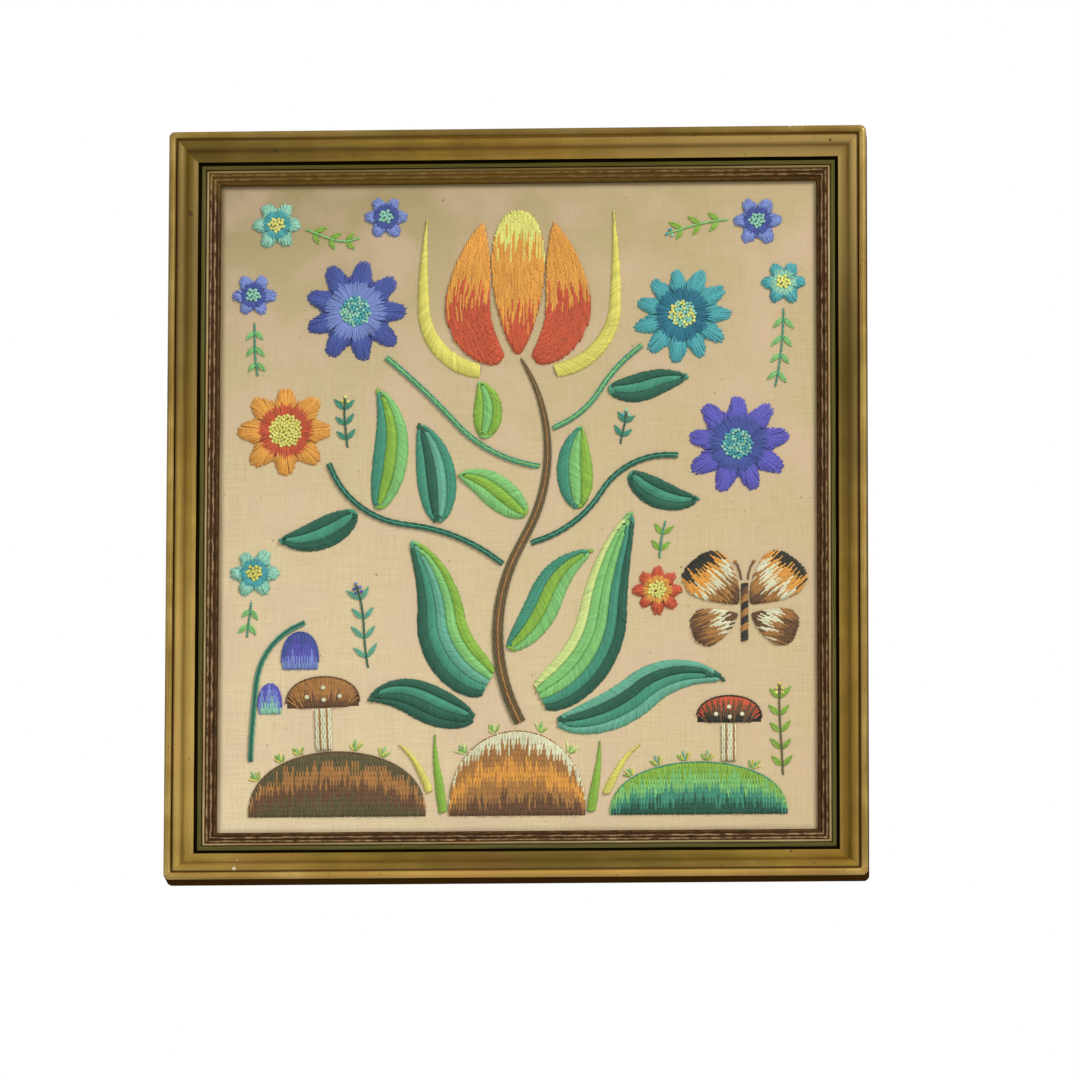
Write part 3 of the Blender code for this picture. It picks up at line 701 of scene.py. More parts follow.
# A stitch is a half-round thread: five rings along it, each of five points across
ringPlaces = np.array((0.0, 0.12, 0.5, 0.88, 1.0))
ringSizes = np.array((0.62, 0.96, 1.0, 0.96, 0.62))
ringOutline = np.array(((-0.5, -0.3), (-0.38, 0.28), (0.0, 0.5), (0.38, 0.28), (0.5, -0.3)))
stitchFaces, stitchCorners = [], []
for r in range(4):
    for k in range(5):
        stitchFaces.append((r * 5 + k, r * 5 + 5 + k, r * 5 + 5 + (k + 1) % 5, r * 5 + (k + 1) % 5))
        stitchCorners += [(ringPlaces[r], k / 5), (ringPlaces[r + 1], k / 5),
                          (ringPlaces[r + 1], (k + 1) / 5), (ringPlaces[r], (k + 1) / 5)]
stitchFaces += [tuple(range(5)), tuple(range(24, 19, -1))]
stitchCorners += [(0.0, 0.5)] * 5 + [(1.0, 0.5)] * 5
stitchCorners = np.array(stitchCorners)

# A knot is a low ring of thread with a dimple
knotRings = ((0.96, -0.2), (1.1, 0.35), (0.85, 0.85), (0.4, 0.85))
knotSides = 7
knotPoints = [(size * math.cos(2 * math.pi * k / knotSides), size * math.sin(2 * math.pi * k / knotSides), up)
              for size, up in knotRings for k in range(knotSides)] + [(0.0, 0.0, 0.6)]
knotFaces = []
for r in range(len(knotRings) - 1):
    for k in range(knotSides):
        a, b = r * knotSides + k, r * knotSides + (k + 1) % knotSides
        knotFaces.append((a, b, b + knotSides, a + knotSides))
knotTop = (len(knotRings) - 1) * knotSides
knotFaces += [(knotTop + k, knotTop + (k + 1) % knotSides, knotTop + knotSides) for k in range(knotSides)]
knotFaces.append(tuple(range(knotSides - 1, -1, -1)))


def tonesOf(count, rng, kind="tone"):
    return wool[kind] + rng.normal(0, wool["toneSpread"], count)


def newWork():
    return {"points": [], "tones": [], "faces": [], "kinds": [], "threadMap": [], "cellMap": [], "cells": [],
            "pointCount": 0, "cellCount": 0}


def addFaces(work, points, tones, faces, kinds, threadMap, cellMap, cells):
    # points are (x, z, height above the linen), kinds are colours, cells are places on the bake map
    first = work["pointCount"]
    work["points"].append(points)
    work["tones"].append(tones)
    work["faces"] += [tuple(first + i for i in face) for face in faces]
    work["kinds"] += kinds
    work["threadMap"].append(threadMap)
    work["cellMap"].append(cellMap)
    work["cells"].append(np.asarray(cells) + work["cellCount"])
    work["pointCount"] += len(points)
    work["cellCount"] += int(max(cells)) + 1


def layStitches(work, starts, ends, lows, crowns, colours, tones, widths=None, bows=None):
    # a batch of stitches from starts to ends; lows are the two ends' heights, crowns the heights midway
    count = len(starts)
    if not count:
        return
    widths = np.full(count, wool["width"]) if widths is None else np.asarray(widths)
    run = ends - starts
    length = np.maximum(np.linalg.norm(run, axis=1), 0.05)
    unit = run / length[:, None]
    side = np.column_stack((-unit[:, 1], unit[:, 0]))
    lift = 1 - np.abs(2 * ringPlaces - 1) ** 2.6
    along = starts[:, None] + run[:, None] * ringPlaces[None, :, None]
    if bows is not None:
        along = along + side[:, None] * (bows[:, None] * lift[None])[..., None]
    height = lows[:, :1] * (1 - ringPlaces) + lows[:, 1:] * ringPlaces
    height = height + (crowns - lows.mean(axis=1))[:, None] * lift
    size = widths[:, None] * ringSizes
    spread = size[:, :, None] * ringOutline[:, 0]
    flat = along[:, :, None] + side[:, None, None] * spread[..., None]
    thick = wool["thickness"] * np.minimum(1.0, widths / wool["width"])[:, None] * ringSizes
    up = height[:, :, None] + thick[:, :, None] * ringOutline[:, 1]
    points = np.concatenate((flat, up[..., None]), axis=3).reshape(-1, 3)
    faces = [tuple(25 * n + i for i in face) for n in range(count) for face in stitchFaces]
    kinds = [colour for colour in colours for _ in stitchFaces]
    threadMap = np.tile(stitchCorners, (count, 1))
    threadMap[:, 0] *= np.repeat(length, len(stitchCorners))
    threadMap[:, 1] *= wool["width"] * 2.4
    cells = np.repeat(np.arange(count), len(stitchCorners))
    cellMap = np.tile(stitchCorners, (count, 1))
    addFaces(work, points, np.repeat(tones, 25), faces, kinds, threadMap, cellMap, cells)


def layKnots(work, places, heights, colours, tones, width):
    spins = np.arange(len(places)) * 2.4
    shape = np.array(knotPoints)
    cos, sin = np.cos(spins)[:, None], np.sin(spins)[:, None]
    x = (shape[:, 0] * cos - shape[:, 1] * sin) * width / 2 + places[:, :1]
    z = (shape[:, 0] * sin + shape[:, 1] * cos) * width / 2 + places[:, 1:]
    up = shape[:, 2] * 1.1 + np.asarray(heights)[:, None]
    points = np.stack((x, z, up), axis=2).reshape(-1, 3)
    size = len(shape)
    faces = [tuple(size * n + i for i in face) for n in range(len(places)) for face in knotFaces]
    kinds = [colour for colour in colours for _ in knotFaces]
    flat = np.array([knotPoints[i][:2] for face in knotFaces for i in face])
    wound = np.column_stack((np.arctan2(flat[:, 1], flat[:, 0]) * 3, np.hypot(*flat.T) * 2))
    threadMap = np.tile(wound, (len(places), 1))
    cellMap = np.tile(flat / 2.4 + 0.5, (len(places), 1))
    cells = np.repeat(np.arange(len(places)), len(flat))
    addFaces(work, points, np.repeat(tones, size), faces, kinds, threadMap, cellMap, cells)


def layUnderlay(work, rings, colour, closedRings, tone=None):
    # the padding threads under the satin: one closed body, lofted through rings of equal length, in a dark
    # tone that is painted shade where it shows in the grooves
    rings = np.array(rings)
    steps, count = rings.shape[:2]
    points = rings.reshape(-1, 3)
    faces = []
    for r in range(steps - 1):
        for k in range(count):
            n = (k + 1) % count
            faces.append((r * count + k, (r + 1) * count + k, (r + 1) * count + n, r * count + n))
    faces += [tuple(range(count)), tuple(range(steps * count - 1, (steps - 1) * count - 1, -1))]
    if closedRings:
        faces = [face[::-1] for face in faces]
    corners = sum(len(face) for face in faces)
    flat = np.full((corners, 2), 0.5)
    tones = np.full(len(points), wool["underlayShadeTone"] if tone is None else tone)
    addFaces(work, points, tones, faces, [colour] * len(faces), flat, flat, np.zeros(corners, int))


def finishWork(work, name, nodes):
    # one mesh from all the stitches of a motif, in place of its solids
    points = np.concatenate(work["points"])
    placed = np.column_stack((points[:, 0], -(linenFront + points[:, 2]), centreZ + points[:, 1])) * mm
    used = sorted(set(work["kinds"]))
    mesh = bpy.data.meshes.new(name)
    mesh.from_pydata(placed.tolist(), [], work["faces"])
    for colour in used:
        mesh.materials.append(woolMaterials[colour])
    mesh.polygons.foreach_set("material_index", [used.index(colour) for colour in work["kinds"]])
    mesh.attributes.new("tone", "FLOAT", "POINT").data.foreach_set("value", np.concatenate(work["tones"]))
    mesh.uv_layers.new(name="threadMap").data.foreach_set("uv", np.concatenate(work["threadMap"]).ravel())
    cells = np.concatenate(work["cells"])
    side = math.ceil(math.sqrt(work["cellCount"]))
    local = np.concatenate(work["cellMap"]) * 0.9 + 0.05
    bakeMap = (local + np.column_stack((cells % side, cells // side))) / side
    mesh.uv_layers.new(name="OFBake").data.foreach_set("uv", bakeMap.ravel())
    mesh.shade_smooth()
    piece = addPiece(name, mesh)
    if nodes:
        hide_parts(*nodes)
    return sum(len(face) - 2 for face in work["faces"])


# Stems, leaves, petals and wings
growth = {
    "woolLow": 1.1, "woolHigh": 2.0, "fullHalfWidth": 4.0, "tipHalfWidth": 0.5, "branchGap": 0.45,
    "stepLength": 9.0, "ribWidth": 7.5, "edgeFall": 0.3,
    "narrowestRib": 3.0,  # ribs that would be narrower than this run together
    "slant": 0.75,  # how far a satin stitch climbs, as a share of its rib's width
    "rowPitch": 1.2, "stitchLength": 6.0,  # stem stitch
    "longStitch": 9.0,
}
kindsOfBlade = {
    # how the width rises from the start and falls to the tip, as powers, and how it is filled
    "stem": (0.0, 0.0, "rows"), "taper": (0.0, 0.35, "rows"), "body": (0.0, 0.0, "banded"),
    "leaf": (0.6, 0.8, "ribs"), "strap": (0.28, 0.65, "ribs"), "grass": (0.12, 0.8, "ribs"),
    "petal": (0.75, 0.42, "shaded"), "sidePetal": (0.6, 0.8, "shaded"), "wing": (0.9, 0.38, "shaded"),
}
# Colours run rib by rib across a leaf, or, where the filling is shaded, from a petal's start to its tip
blades = (
    # name, start, heading, length, bendIn, bendOut, width, kind, colours
    ("stem_main", (2, -152), 118, 268, -58, 62, 8, "taper", "olive brown olive tan brown olive"),
    ("branch_left", ("stem_main", 0.42, 1), 140, 147, 34, -66, 4, "stem", "darkGreen tealGreen darkGreen"),
    ("branch_right", ("stem_main", 0.5, -1), 14, 124, 44, -66, 4, "stem", "darkGreen tealGreen darkGreen"),
    ("twig_left", ("stem_main", 0.7, 1), 172, 135, -40, 8, 3.6, "stem", "tealGreen leafGreen tealGreen"),
    ("twig_right", ("stem_main", 0.8, -1), 20, 86, 38, -22, 3.6, "stem", "tealGreen leafGreen tealGreen"),
    ("tulip_middle", (0, 107), 90, 102, 0, 0, 37, "petal", "rust orange orange sunYellow"),
    ("tulip_left", (-11, 103), 154, 108, -72, -6, 31, "sidePetal", "rust rust orange orange"),
    ("tulip_right", (11, 103), 26, 108, 72, 6, 31, "sidePetal", "rust rust orange orange"),
    ("blade_left", (-26, 95), 172, 128, -80, -8, 11, "grass", "yellow"),
    ("blade_right", (26, 95), 8, 134, 80, 6, 11, "grass", "yellow"),
    ("leaf_low_left", (-20, -124), 158, 118, -64, 34, 36, "strap",
     "lime leafGreen seaGreen tealGreen darkGreen"),
    ("leaf_low_right", (16, -134), 22, 150, 62, -20, 36, "strap",
     "darkGreen tealGreen leafGreen leafGreen paleLime"),
    ("leaf_foot_left", (-30, -149), 168, 77, -16, 54, 27, "leaf", "darkGreen tealGreen darkGreen"),
    ("leaf_foot_right", (28, -152), 0, 124, 40, -66, 28, "leaf", "seaGreen tealGreen darkGreen"),
    ("leaf_mid_left", ("branch_left", 0.36, -1), 88, 72, 10, 22, 27, "leaf", "tealGreen seaGreen darkGreen"),
    ("leaf_high_left", ("branch_left", 0.66, -1), 70, 88, 16, 34, 24, "leaf", "leafGreen lime tealGreen"),
    ("leaf_side_left", ("branch_left", 0.74, 1), 222, 58, -20, -30, 22, "leaf",
     "darkGreen tealGreen darkGreen"),
    ("leaf_side_right", ("branch_right", 0.7, -1), -52, 54, 30, 30, 20, "leaf", "darkGreen tealGreen"),
    ("leaf_mid_right", ("branch_right", 0.34, 1), 98, 58, -6, -24, 25, "leaf", "lime leafGreen tealGreen"),
    ("leaf_stem_right", ("stem_main", 0.2, -1), 40, 92, 30, -52, 24, "leaf", "leafGreen lime tealGreen"),
    ("leaf_stem_left", ("stem_main", 0.56, 1), 140, 56, 0, 34, 23, "leaf", "leafGreen lime leafGreen"),
    ("leaf_twig_left", ("twig_left", 0.34, -1), 70, 41, 20, 36, 20, "leaf", "lime leafGreen"),
    ("leaf_twig_right", ("twig_right", 0.55, -1), -10, 56, 30, -20, 20, "leaf", "darkGreen tealGreen"),
    ("stem_bell", (-184, -178), 88, 112, -4, -66, 3.4, "stem", "tealGreen darkGreen tealGreen"),
    ("stalk_left", (-133, -170.3), 92, 29, 0, 0, 11, "stem", "cream cream tan cream"),
    ("stalk_right", (146, -180), 90, 26, 0, 0, 10, "stem", "cream tan cream cream"),
    ("wing_upper_right", (161, -70), 50, 44, -10, 10, 35, "wing", "brown tan cream orange nearBlack"),
    ("wing_upper_left", (152.4, -70), 130, 44, 10, -10, 35, "wing", "brown tan cream orange nearBlack"),
    ("wing_lower_right", (161.5, -77), -30, 34, 10, 0, 26, "wing", "brown cream tan brown"),
    ("wing_lower_left", (151.9, -77), 210, 34, -10, 0, 26, "wing", "brown cream tan brown"),
    ("moth_body", (156.7, -96), 90, 40, 0, 0, 5, "body",
     "nearBlack tan nearBlack tan nearBlack tan brown nearBlack"),
    ("grass_left", (-51, -214), 97, 54, 2, -10, 6.5, "grass", "lime"),
    ("grass_outer_left", (-60, -200), 112, 40, 6, 24, 5.5, "grass", "yellow"),
    ("grass_right", (51, -214), 82, 49, -2, 10, 6.5, "grass", "lime"),
    ("grass_outer_right", (61, -202), 66, 42, -6, -26, 5.5, "grass", "yellow"),
)


def widthShare(kind, along):
    rise, fall, _ = kindsOfBlade[kind]
    raw = (np.minimum(along, 0.9999) + 0.02) ** rise * (1 - np.minimum(along, 0.9999)) ** fall
    tries = np.arange(60) / 60
    return raw / ((tries + 0.02) ** rise * (1 - tries) ** fall).max()


def halfWidth(width, kind, along):
    return np.maximum(width / 2 * widthShare(kind, along), growth["tipHalfWidth"])


def middleLine(start, heading, length, bendIn, bendOut):
    steps = max(8, min(16, int(length / growth["stepLength"])))
    points = [np.array(start, float)]
    for i in range(steps):
        along = (i + 0.5) / steps
        angle = math.radians(heading + bendIn * min(2 * along, 1.0) + bendOut * max(0.0, 2 * along - 1.0))
        points.append(points[-1] + np.array((math.cos(angle), math.sin(angle))) * (length / steps))
    return np.array(points)


def lineSides(points):
    padded = np.vstack((points[:1], points, points[-1:]))
    tangents = padded[2:] - padded[:-2]
    sides = np.column_stack((-tangents[:, 1], tangents[:, 0]))
    return sides / np.linalg.norm(sides, axis=1)[:, None]


def startOf(grown, start, width, kind):
    # a motif's own start, or the place just beside the stem that it grows from
    if not isinstance(start[0], str):
        return start
    parent, place, hand = start
    points, stemWidth, stemKind = grown[parent]
    last = len(points) - 1
    low = int(place * last)
    share = place * last - low
    halves = halfWidth(stemWidth, stemKind, np.arange(last + 1) / last)
    sides = lineSides(points)
    offset = halves[low] * (1 - share) + halves[low + 1] * share + growth["branchGap"]
    offset += halfWidth(width, kind, 0.0)
    return (points[low] * (1 - share) + points[low + 1] * share
            + (sides[low] * (1 - share) + sides[low + 1] * share) * hand * offset)


def curvePlace(points, along):
    # the place and the left side at any share along a smooth curve through the points
    last = len(points) - 1
    place = np.clip(np.asarray(along, float), 0.0, 1.0) * last
    low = np.minimum(place.astype(int), last - 1)
    t = (place - low)[:, None]
    padded = np.vstack((2 * points[0] - points[1], points, 2 * points[-1] - points[-2]))
    a, b, c, d = (padded[low + i] for i in range(4))
    centre = 0.5 * (2 * b + (c - a) * t + (2 * a - 5 * b + 4 * c - d) * t**2 + (3 * b - a - 3 * c + d) * t**3)
    slope = 0.5 * ((c - a) + 2 * (2 * a - 5 * b + 4 * c - d) * t + 3 * (3 * b - a - 3 * c + d) * t**2)
    side = np.column_stack((-slope[:, 1], slope[:, 0]))
    return centre, side / np.linalg.norm(side, axis=1)[:, None]


def onBlade(blade, along, across):
    points, width, kind = blade
    centre, side = curvePlace(points, along)
    half = halfWidth(width, kind, np.asarray(along))
    return centre + side * (half * across)[:, None]


def woolHeight(half):
    full = np.minimum(1.0, half / growth["fullHalfWidth"])
    return growth["woolLow"] + (growth["woolHigh"] - growth["woolLow"]) * full


def crownHeight(half, across):
    # the height of a thread's middle line over a rib's crown
    return 0.3 + woolHeight(half) * (1 - growth["edgeFall"] * across**2) - wool["thickness"] / 2


def underBlade(work, blade, ribs, length, colour):
    points, width, kind = blade
    steps = max(6, int(length / 5))
    alongs = np.linspace(0.05, 0.94, steps)  # clear of both ends, so that only the grooves show it
    shares = [(-0.84, -0.3)]
    for i in range(ribs):
        crown = (2 * i + 1) / ribs - 1
        shares += [(crown - 0.5 / ribs, 0.45), (crown + 0.5 / ribs, 0.45)]
        if i < ribs - 1:
            shares.append((crown + 1 / ribs, 0.3))
    shares.append((0.84, -0.3))
    rings = []
    for along in alongs:
        half = halfWidth(width, kind, along)
        high = woolHeight(half)
        places = onBlade(blade, np.full(len(shares), along), np.array([share for share, _ in shares]))
        rings.append([(x, z, up * high) for (x, z), (_, up) in zip(places, shares)])
    layUnderlay(work, rings, colour, False)


def shadedColour(colours, along, stray):
    return colours[int(min(max(along * len(colours) + stray, 0), len(colours) - 1))]


def satinRibs(work, blade, length, filling, colours, rng):
    points, width, kind = blade
    halves = halfWidth(width, kind, np.linspace(0, 1, len(points)))
    ribs = max(1, round(2 * halves.max() / growth["ribWidth"]))
    underBlade(work, blade, ribs, length, colours[0])
    rows = {key: [] for key in ("alongs", "acrosses", "ends", "endAcrosses", "crowns", "colours", "edges")}
    # stitches before the start fan out from it
    beforeStart = math.ceil(growth["slant"] * growth["ribWidth"] / wool["pitch"])
    for i in range(-beforeStart, int(length / wool["pitch"])):
        along = (i + 0.5) * wool["pitch"] / length
        half = float(halfWidth(width, kind, max(along, 0.0)))
        here = min(ribs, max(1, int(2 * half / growth["narrowestRib"])))
        for rib in range(here):
            left, rightEdge = 2 * rib / here - 1, 2 * (rib + 1) / here - 1
            middle = (left + rightEdge) / 2
            climb = growth["slant"] * (rightEdge - left) * half / length
            down = middle > 0.01 or here == 1
            if along + climb < 0.3 * wool["pitch"] / length:
                continue
            rows["alongs"].append(along + (climb if down else 0))
            rows["ends"].append(along + (0 if down else climb))
            rows["acrosses"].append(left)
            rows["endAcrosses"].append(rightEdge)
            rows["crowns"].append(crownHeight(half, middle))
            ribColour = colours[round((middle + 1) / 2 * ribs - 0.5) % len(colours)]
            rows["colours"].append(shadedColour(colours, along, 0.0) if filling == "banded" else ribColour)
            rows["edges"].append((rib == 0, rib == here - 1))
    alongs, ends = np.array(rows["alongs"]), np.array(rows["ends"])
    first, second = np.array(rows["acrosses"]), np.array(rows["endAcrosses"])
    edges = np.array(rows["edges"], bool)
    count = len(alongs)
    halfHere = halfWidth(width, kind, np.clip(alongs, 0, 1))
    stray = rng.uniform(-1, 1, (count, 2)) * wool["unevenEnds"] / halfHere[:, None]
    stray = np.where(edges, stray, stray * 0.4)
    starts = onBlade(blade, np.clip(alongs, 0, 1), first + stray[:, 0])
    finish = onBlade(blade, np.clip(ends, 0, 1), second + stray[:, 1])
    lows = np.where(edges, tuck, 0.42 * growth["woolHigh"] * 0.7)
    crowns = np.array(rows["crowns"]) + rng.normal(0, 0.05, count)
    tones = tonesOf(count, rng)
    layStitches(work, starts, finish, lows, crowns, rows["colours"], tones, bows=rng.normal(0, 0.1, count))


def longAndShort(work, blade, length, colours, rng):
    # rows of staggered stitches side by side along the petal, whose colours run into each other like fingers
    points, width, kind = blade
    ribs = max(1, round(width / growth["ribWidth"]))
    underBlade(work, blade, ribs, length, colours[0])
    each = growth["longStitch"]
    grid = np.linspace(0, 1, 240)
    halves = halfWidth(width, kind, grid)
    starts, ends, crowns, lows, chosen = [], [], [], [], []
    columns = int(width / wool["pitch"])
    for column in range(columns):
        across = (column - (columns - 1) / 2) * wool["pitch"]
        inside = grid[halves > abs(across) + 0.2]
        if not len(inside):
            continue
        low, high = inside[0], inside[-1]
        place = low - (column % 2) * 0.5 * each / length - rng.uniform(0, 0.2) * each / length
        while place < high:
            start = max(place + rng.uniform(-0.08, 0.08) * each / length, low)
            end = min(place + each * 1.1 / length, high + rng.uniform(-0.5, 0.8) / length)
            place += each / length
            if (end - start) * length < 1.6:
                continue
            middle = (start + end) / 2
            half = float(halfWidth(width, kind, middle))
            phase = (across / half + 1) / 2 * ribs
            crown = crownHeight(half, across / half) * (0.8 + 0.2 * math.sqrt(abs(math.sin(math.pi * phase))))
            starts.append((min(start, 1.0), across))
            ends.append((min(end, 1.0), across))
            crowns.append(crown)
            under = crown - 0.3
            lows.append((tuck if start == low else under, tuck if end >= high - 0.01 else under))
            chosen.append(shadedColour(colours, middle, rng.uniform(-0.5, 0.5)))
    starts, ends = np.array(starts), np.array(ends)
    count = len(starts)

    def off(pairs):
        centre, side = curvePlace(points, pairs[:, 0])
        return centre + side * pairs[:, 1:]

    crowns = np.array(crowns) + rng.normal(0, 0.05, count)
    tones = tonesOf(count, rng)
    bows = rng.normal(0, 0.08, count)
    layStitches(work, off(starts), off(ends), np.array(lows), crowns, chosen, tones, bows=bows)


def stemRows(work, blade, length, colours, rng):
    # stem stitch: rows of overlapping stitches, each row half a stitch on from the last
    points, width, kind = blade
    rows = max(1, round(width / growth["rowPitch"]))
    underBlade(work, blade, 1, length, colours[0])
    each = growth["stitchLength"]
    starts, ends, crowns, chosen, widths = [], [], [], [], []
    for row in range(rows):
        across = (2 * row + 1) / rows - 1
        offset = -(row % 2) * each / 2
        while offset < length:
            low = max(offset, 0.0) / length
            high = min(offset + each * 1.35, length) / length
            offset += each
            if (high - low) * length < 1.5:
                continue
            half = float(halfWidth(width, kind, (low + high) / 2))
            drift = 0.22 / rows * 2
            starts.append((low, across - drift))
            ends.append((high, across + drift))
            crowns.append(crownHeight(half, across * 1.1))
            chosen.append(colours[row % len(colours)])
            widths.append(min(wool["width"], 2 * half / rows * 1.3))
    starts, ends = np.array(starts), np.array(ends)
    count = len(starts)
    crowns = np.array(crowns) + rng.normal(0, 0.05, count)
    lows = np.column_stack((crowns * 0.55, crowns * 0.8))
    tones = tonesOf(count, rng)
    layStitches(work, onBlade(blade, starts[:, 0], starts[:, 1]), onBlade(blade, ends[:, 0], ends[:, 1]),
                lows, crowns, chosen, tones, widths=widths)


print("leaves and stems")
grown = {}
triangles = {}
for number, row in enumerate(blades):
    name, start, heading, length, bendIn, bendOut, width, kind, words = row
    filling, colours = kindsOfBlade[kind][2], words.split()
    root = startOf(grown, start, width, kind)
    line = middleLine(root, heading, length, bendIn, bendOut)
    grown[name] = (line, width, kind)
    rng = np.random.default_rng(100 + number)
    work = newWork()
    if filling == "rows":
        stemRows(work, grown[name], length, colours, rng)
    elif filling == "shaded":
        longAndShort(work, grown[name], length, colours, rng)
    else:
        satinRibs(work, grown[name], length, filling, colours, rng)
    triangles[name] = finishWork(work, name + "_stitches", [name])


# Flowers
print("flowers")
petalShape = {
    # where the two rings of petal stitches begin and end, as shares of the radius
    "outerStart": 0.48, "innerEnd": 0.60,
    "gather": 0.78,  # how far a petal's stitches draw together towards the middle
    "ragged": 1.6,  # how far a petal's ends stray
    "uneven": 0.10,  # how much shorter one petal may be than the next
}
flowers = (
    # name, x, z, radius, petals, notch, turn, knots' radius, outer colour, inner colour, knots' colours
    ("daisy_left", -113, 138, 39, 9, 0.32, 0, 11, "blue", "periwinkle", "mint turquoise"),
    ("aster_right", 114, 134, 36, 11, 0.28, 0, 10, "turquoise", "teal", "mint sunYellow"),
    ("zinnia_left", -161, 54, 35, 8, 0.28, 0, 12, "orange", "rust", "sunYellow yellow"),
    ("daisy_right", 152, 42, 38, 9, 0.32, 10, 11, "violet", "blue", "turquoise mint"),
    ("rosette_right", 96.8, -60, 18.8, 8, 0.28, 0, 6.5, "rust", "orange", "sunYellow"),
    ("floret_1", -168, 200, 19, 6, 0.32, 0, 5.5, "mint", "turquoise", "sunYellow"),
    ("floret_2", -184, 150, 17, 6, 0.32, 0, 5, "periwinkle", "blue", "mint"),
    ("floret_3", 166, 200, 19, 6, 0.32, 0, 5.5, "periwinkle", "blue", "mint"),
    ("floret_4", 184, 156, 17, 6, 0.32, 0, 5, "turquoise", "mint", "sunYellow"),
    ("floret_5", -182, -46, 19, 6, 0.32, 0, 5.5, "mint", "turquoise", "yellow"),
    ("floret_6", -92, 205, 17, 6, 0.32, 0, 5, "periwinkle", "blue", "mint"),
)


def petalDip(angle, petals):
    return np.abs(np.sin(petals * angle / 2)) ** 3


def addFlower(name, x, z, radius, petals, notch, turn, knots, outer, inner, words, rng):
    work = newWork()
    knotColours = words.split()
    middle = np.array((x, z), float)
    start = math.radians(turn)

    def polar(angle, reach):
        way = np.column_stack((np.cos(angle + start), np.sin(angle + start)))
        return middle + way * np.asarray(reach)[:, None]

    sizes = 1 - rng.uniform(0, petalShape["uneven"], petals)
    pitchAngle = 2 * np.pi / petals

    def petalReach(angle):
        own = sizes[np.round(angle / pitchAngle).astype(int) % petals]
        return radius * own * (1 - notch * petalDip(angle, petals))

    rim = np.linspace(0, 2 * np.pi, petals * 8, endpoint=False)
    edge = petalReach(rim)
    rings = []
    for share, up in ((0.93, -0.3), (0.9, 0.35), (0.55, 1.0), (0.1, 1.0)):
        rings.append(np.column_stack((polar(rim, edge * share), np.full(len(rim), up))))
    layUnderlay(work, rings, outer, True)

    # outer ring: from the petals' ragged ends in towards the middle
    count = int(2 * math.pi * radius * 0.78 / wool["pitch"])
    angle = 2 * np.pi * (np.arange(count) + rng.uniform(-0.3, 0.3, count)) / count
    dip = petalDip(angle, petals)
    petalMiddle = np.round(angle / pitchAngle) * pitchAngle
    gathered = petalMiddle + (angle - petalMiddle) * petalShape["gather"]
    reach = petalReach(angle) - rng.uniform(0, petalShape["ragged"], count)
    near = radius * (petalShape["outerStart"] + rng.uniform(-0.05, 0.05, count))
    starts, ends = polar(angle, reach), polar(gathered, near)
    lows = np.column_stack((np.full(count, tuck), np.full(count, 1.1)))
    crowns = 1.75 - 0.55 * dip + rng.normal(0, 0.07, count)
    # painted shade: stitches are darker where the petals part
    tones = 0.62 - 0.12 * dip + rng.normal(0, wool["toneSpread"], count)
    layStitches(work, starts, ends, lows, crowns, [outer] * count, tones, bows=rng.normal(0, 0.15, count))

    # inner ring: laid over the outer one's inner ends
    count = int(2 * math.pi * radius * 0.42 / wool["pitch"])
    angle = 2 * np.pi * (np.arange(count) + rng.uniform(-0.3, 0.3, count)) / count
    dip = petalDip(angle, petals)
    reach = radius * (petalShape["innerEnd"] - 0.08 * dip + rng.uniform(-0.07, 0.05, count))
    near = np.full(count, knots * 0.8)
    lows = np.column_stack((np.full(count, 1.25), np.full(count, 0.9)))
    crowns = 1.85 - 0.3 * dip + rng.normal(0, 0.07, count)
    # painted shade: stitches are darker where the petals part
    tones = 0.6 - 0.1 * dip + rng.normal(0, wool["toneSpread"], count)
    layStitches(work, polar(angle, reach), polar(angle, near), lows, crowns, [inner] * count, tones)

    # knots on a spiral, packed as seeds are
    count = max(5, int((knots / (wool["knotWidth"] * 0.5)) ** 2 * 0.82))
    index = np.arange(count)
    places = polar(index * 2.39996, knots * np.sqrt((index + 0.3) / count) * 0.95)
    places += rng.normal(0, 0.15, places.shape)
    heights = 1.35 + 0.4 * (1 - index / count)
    chosen = [knotColours[int(i) % len(knotColours)] for i in rng.integers(0, 9, count)]
    tones = tonesOf(count, rng, "knotTone")
    layKnots(work, places, heights, chosen, tones, wool["knotWidth"])
    triangles[name] = finishWork(work, name + "_stitches", [name])


for number, row in enumerate(flowers):
    addFlower(*row, np.random.default_rng(300 + number))


# Mounds, mushroom caps and bells
print("mounds, caps and bells")
domes = (
    # name, x, z of the flat side's middle, lean, width, height, fullness, gather, stitch, colours, edge
    ("mound_left", -124, -217, 0, 122, 46, 0.8, 1.0, 7.0, "olive brown tan olive", "brown"),
    ("mound_middle", 0, -217, 0, 94, 60, 0.8, 1.0, 7.5, "brown tan orange tan cream", "tan"),
    ("mound_right", 125, -217, 0, 122, 37, 0.8, 1.0, 7.0, "darkGreen tealGreen leafGreen lime", "tealGreen"),
    ("cap_left", -134, -140.6, 2, 52, 22, 0.7, 0.62, 8.0, "brown tan tan", "brown"),
    ("cap_right", 146, -153, 0, 46, 19, 0.7, 0.62, 7.5, "nearBlack brown rust", "nearBlack"),
    ("bell_upper", -150, -114, 0, 26, 27, 0.6, 0.9, 9.0, "periwinkle violet blue", "blue"),
    ("bell_lower", -170.7, -145, 0, 16.5, 22, 0.6, 0.9, 8.0, "mint periwinkle violet", "violet"),
)


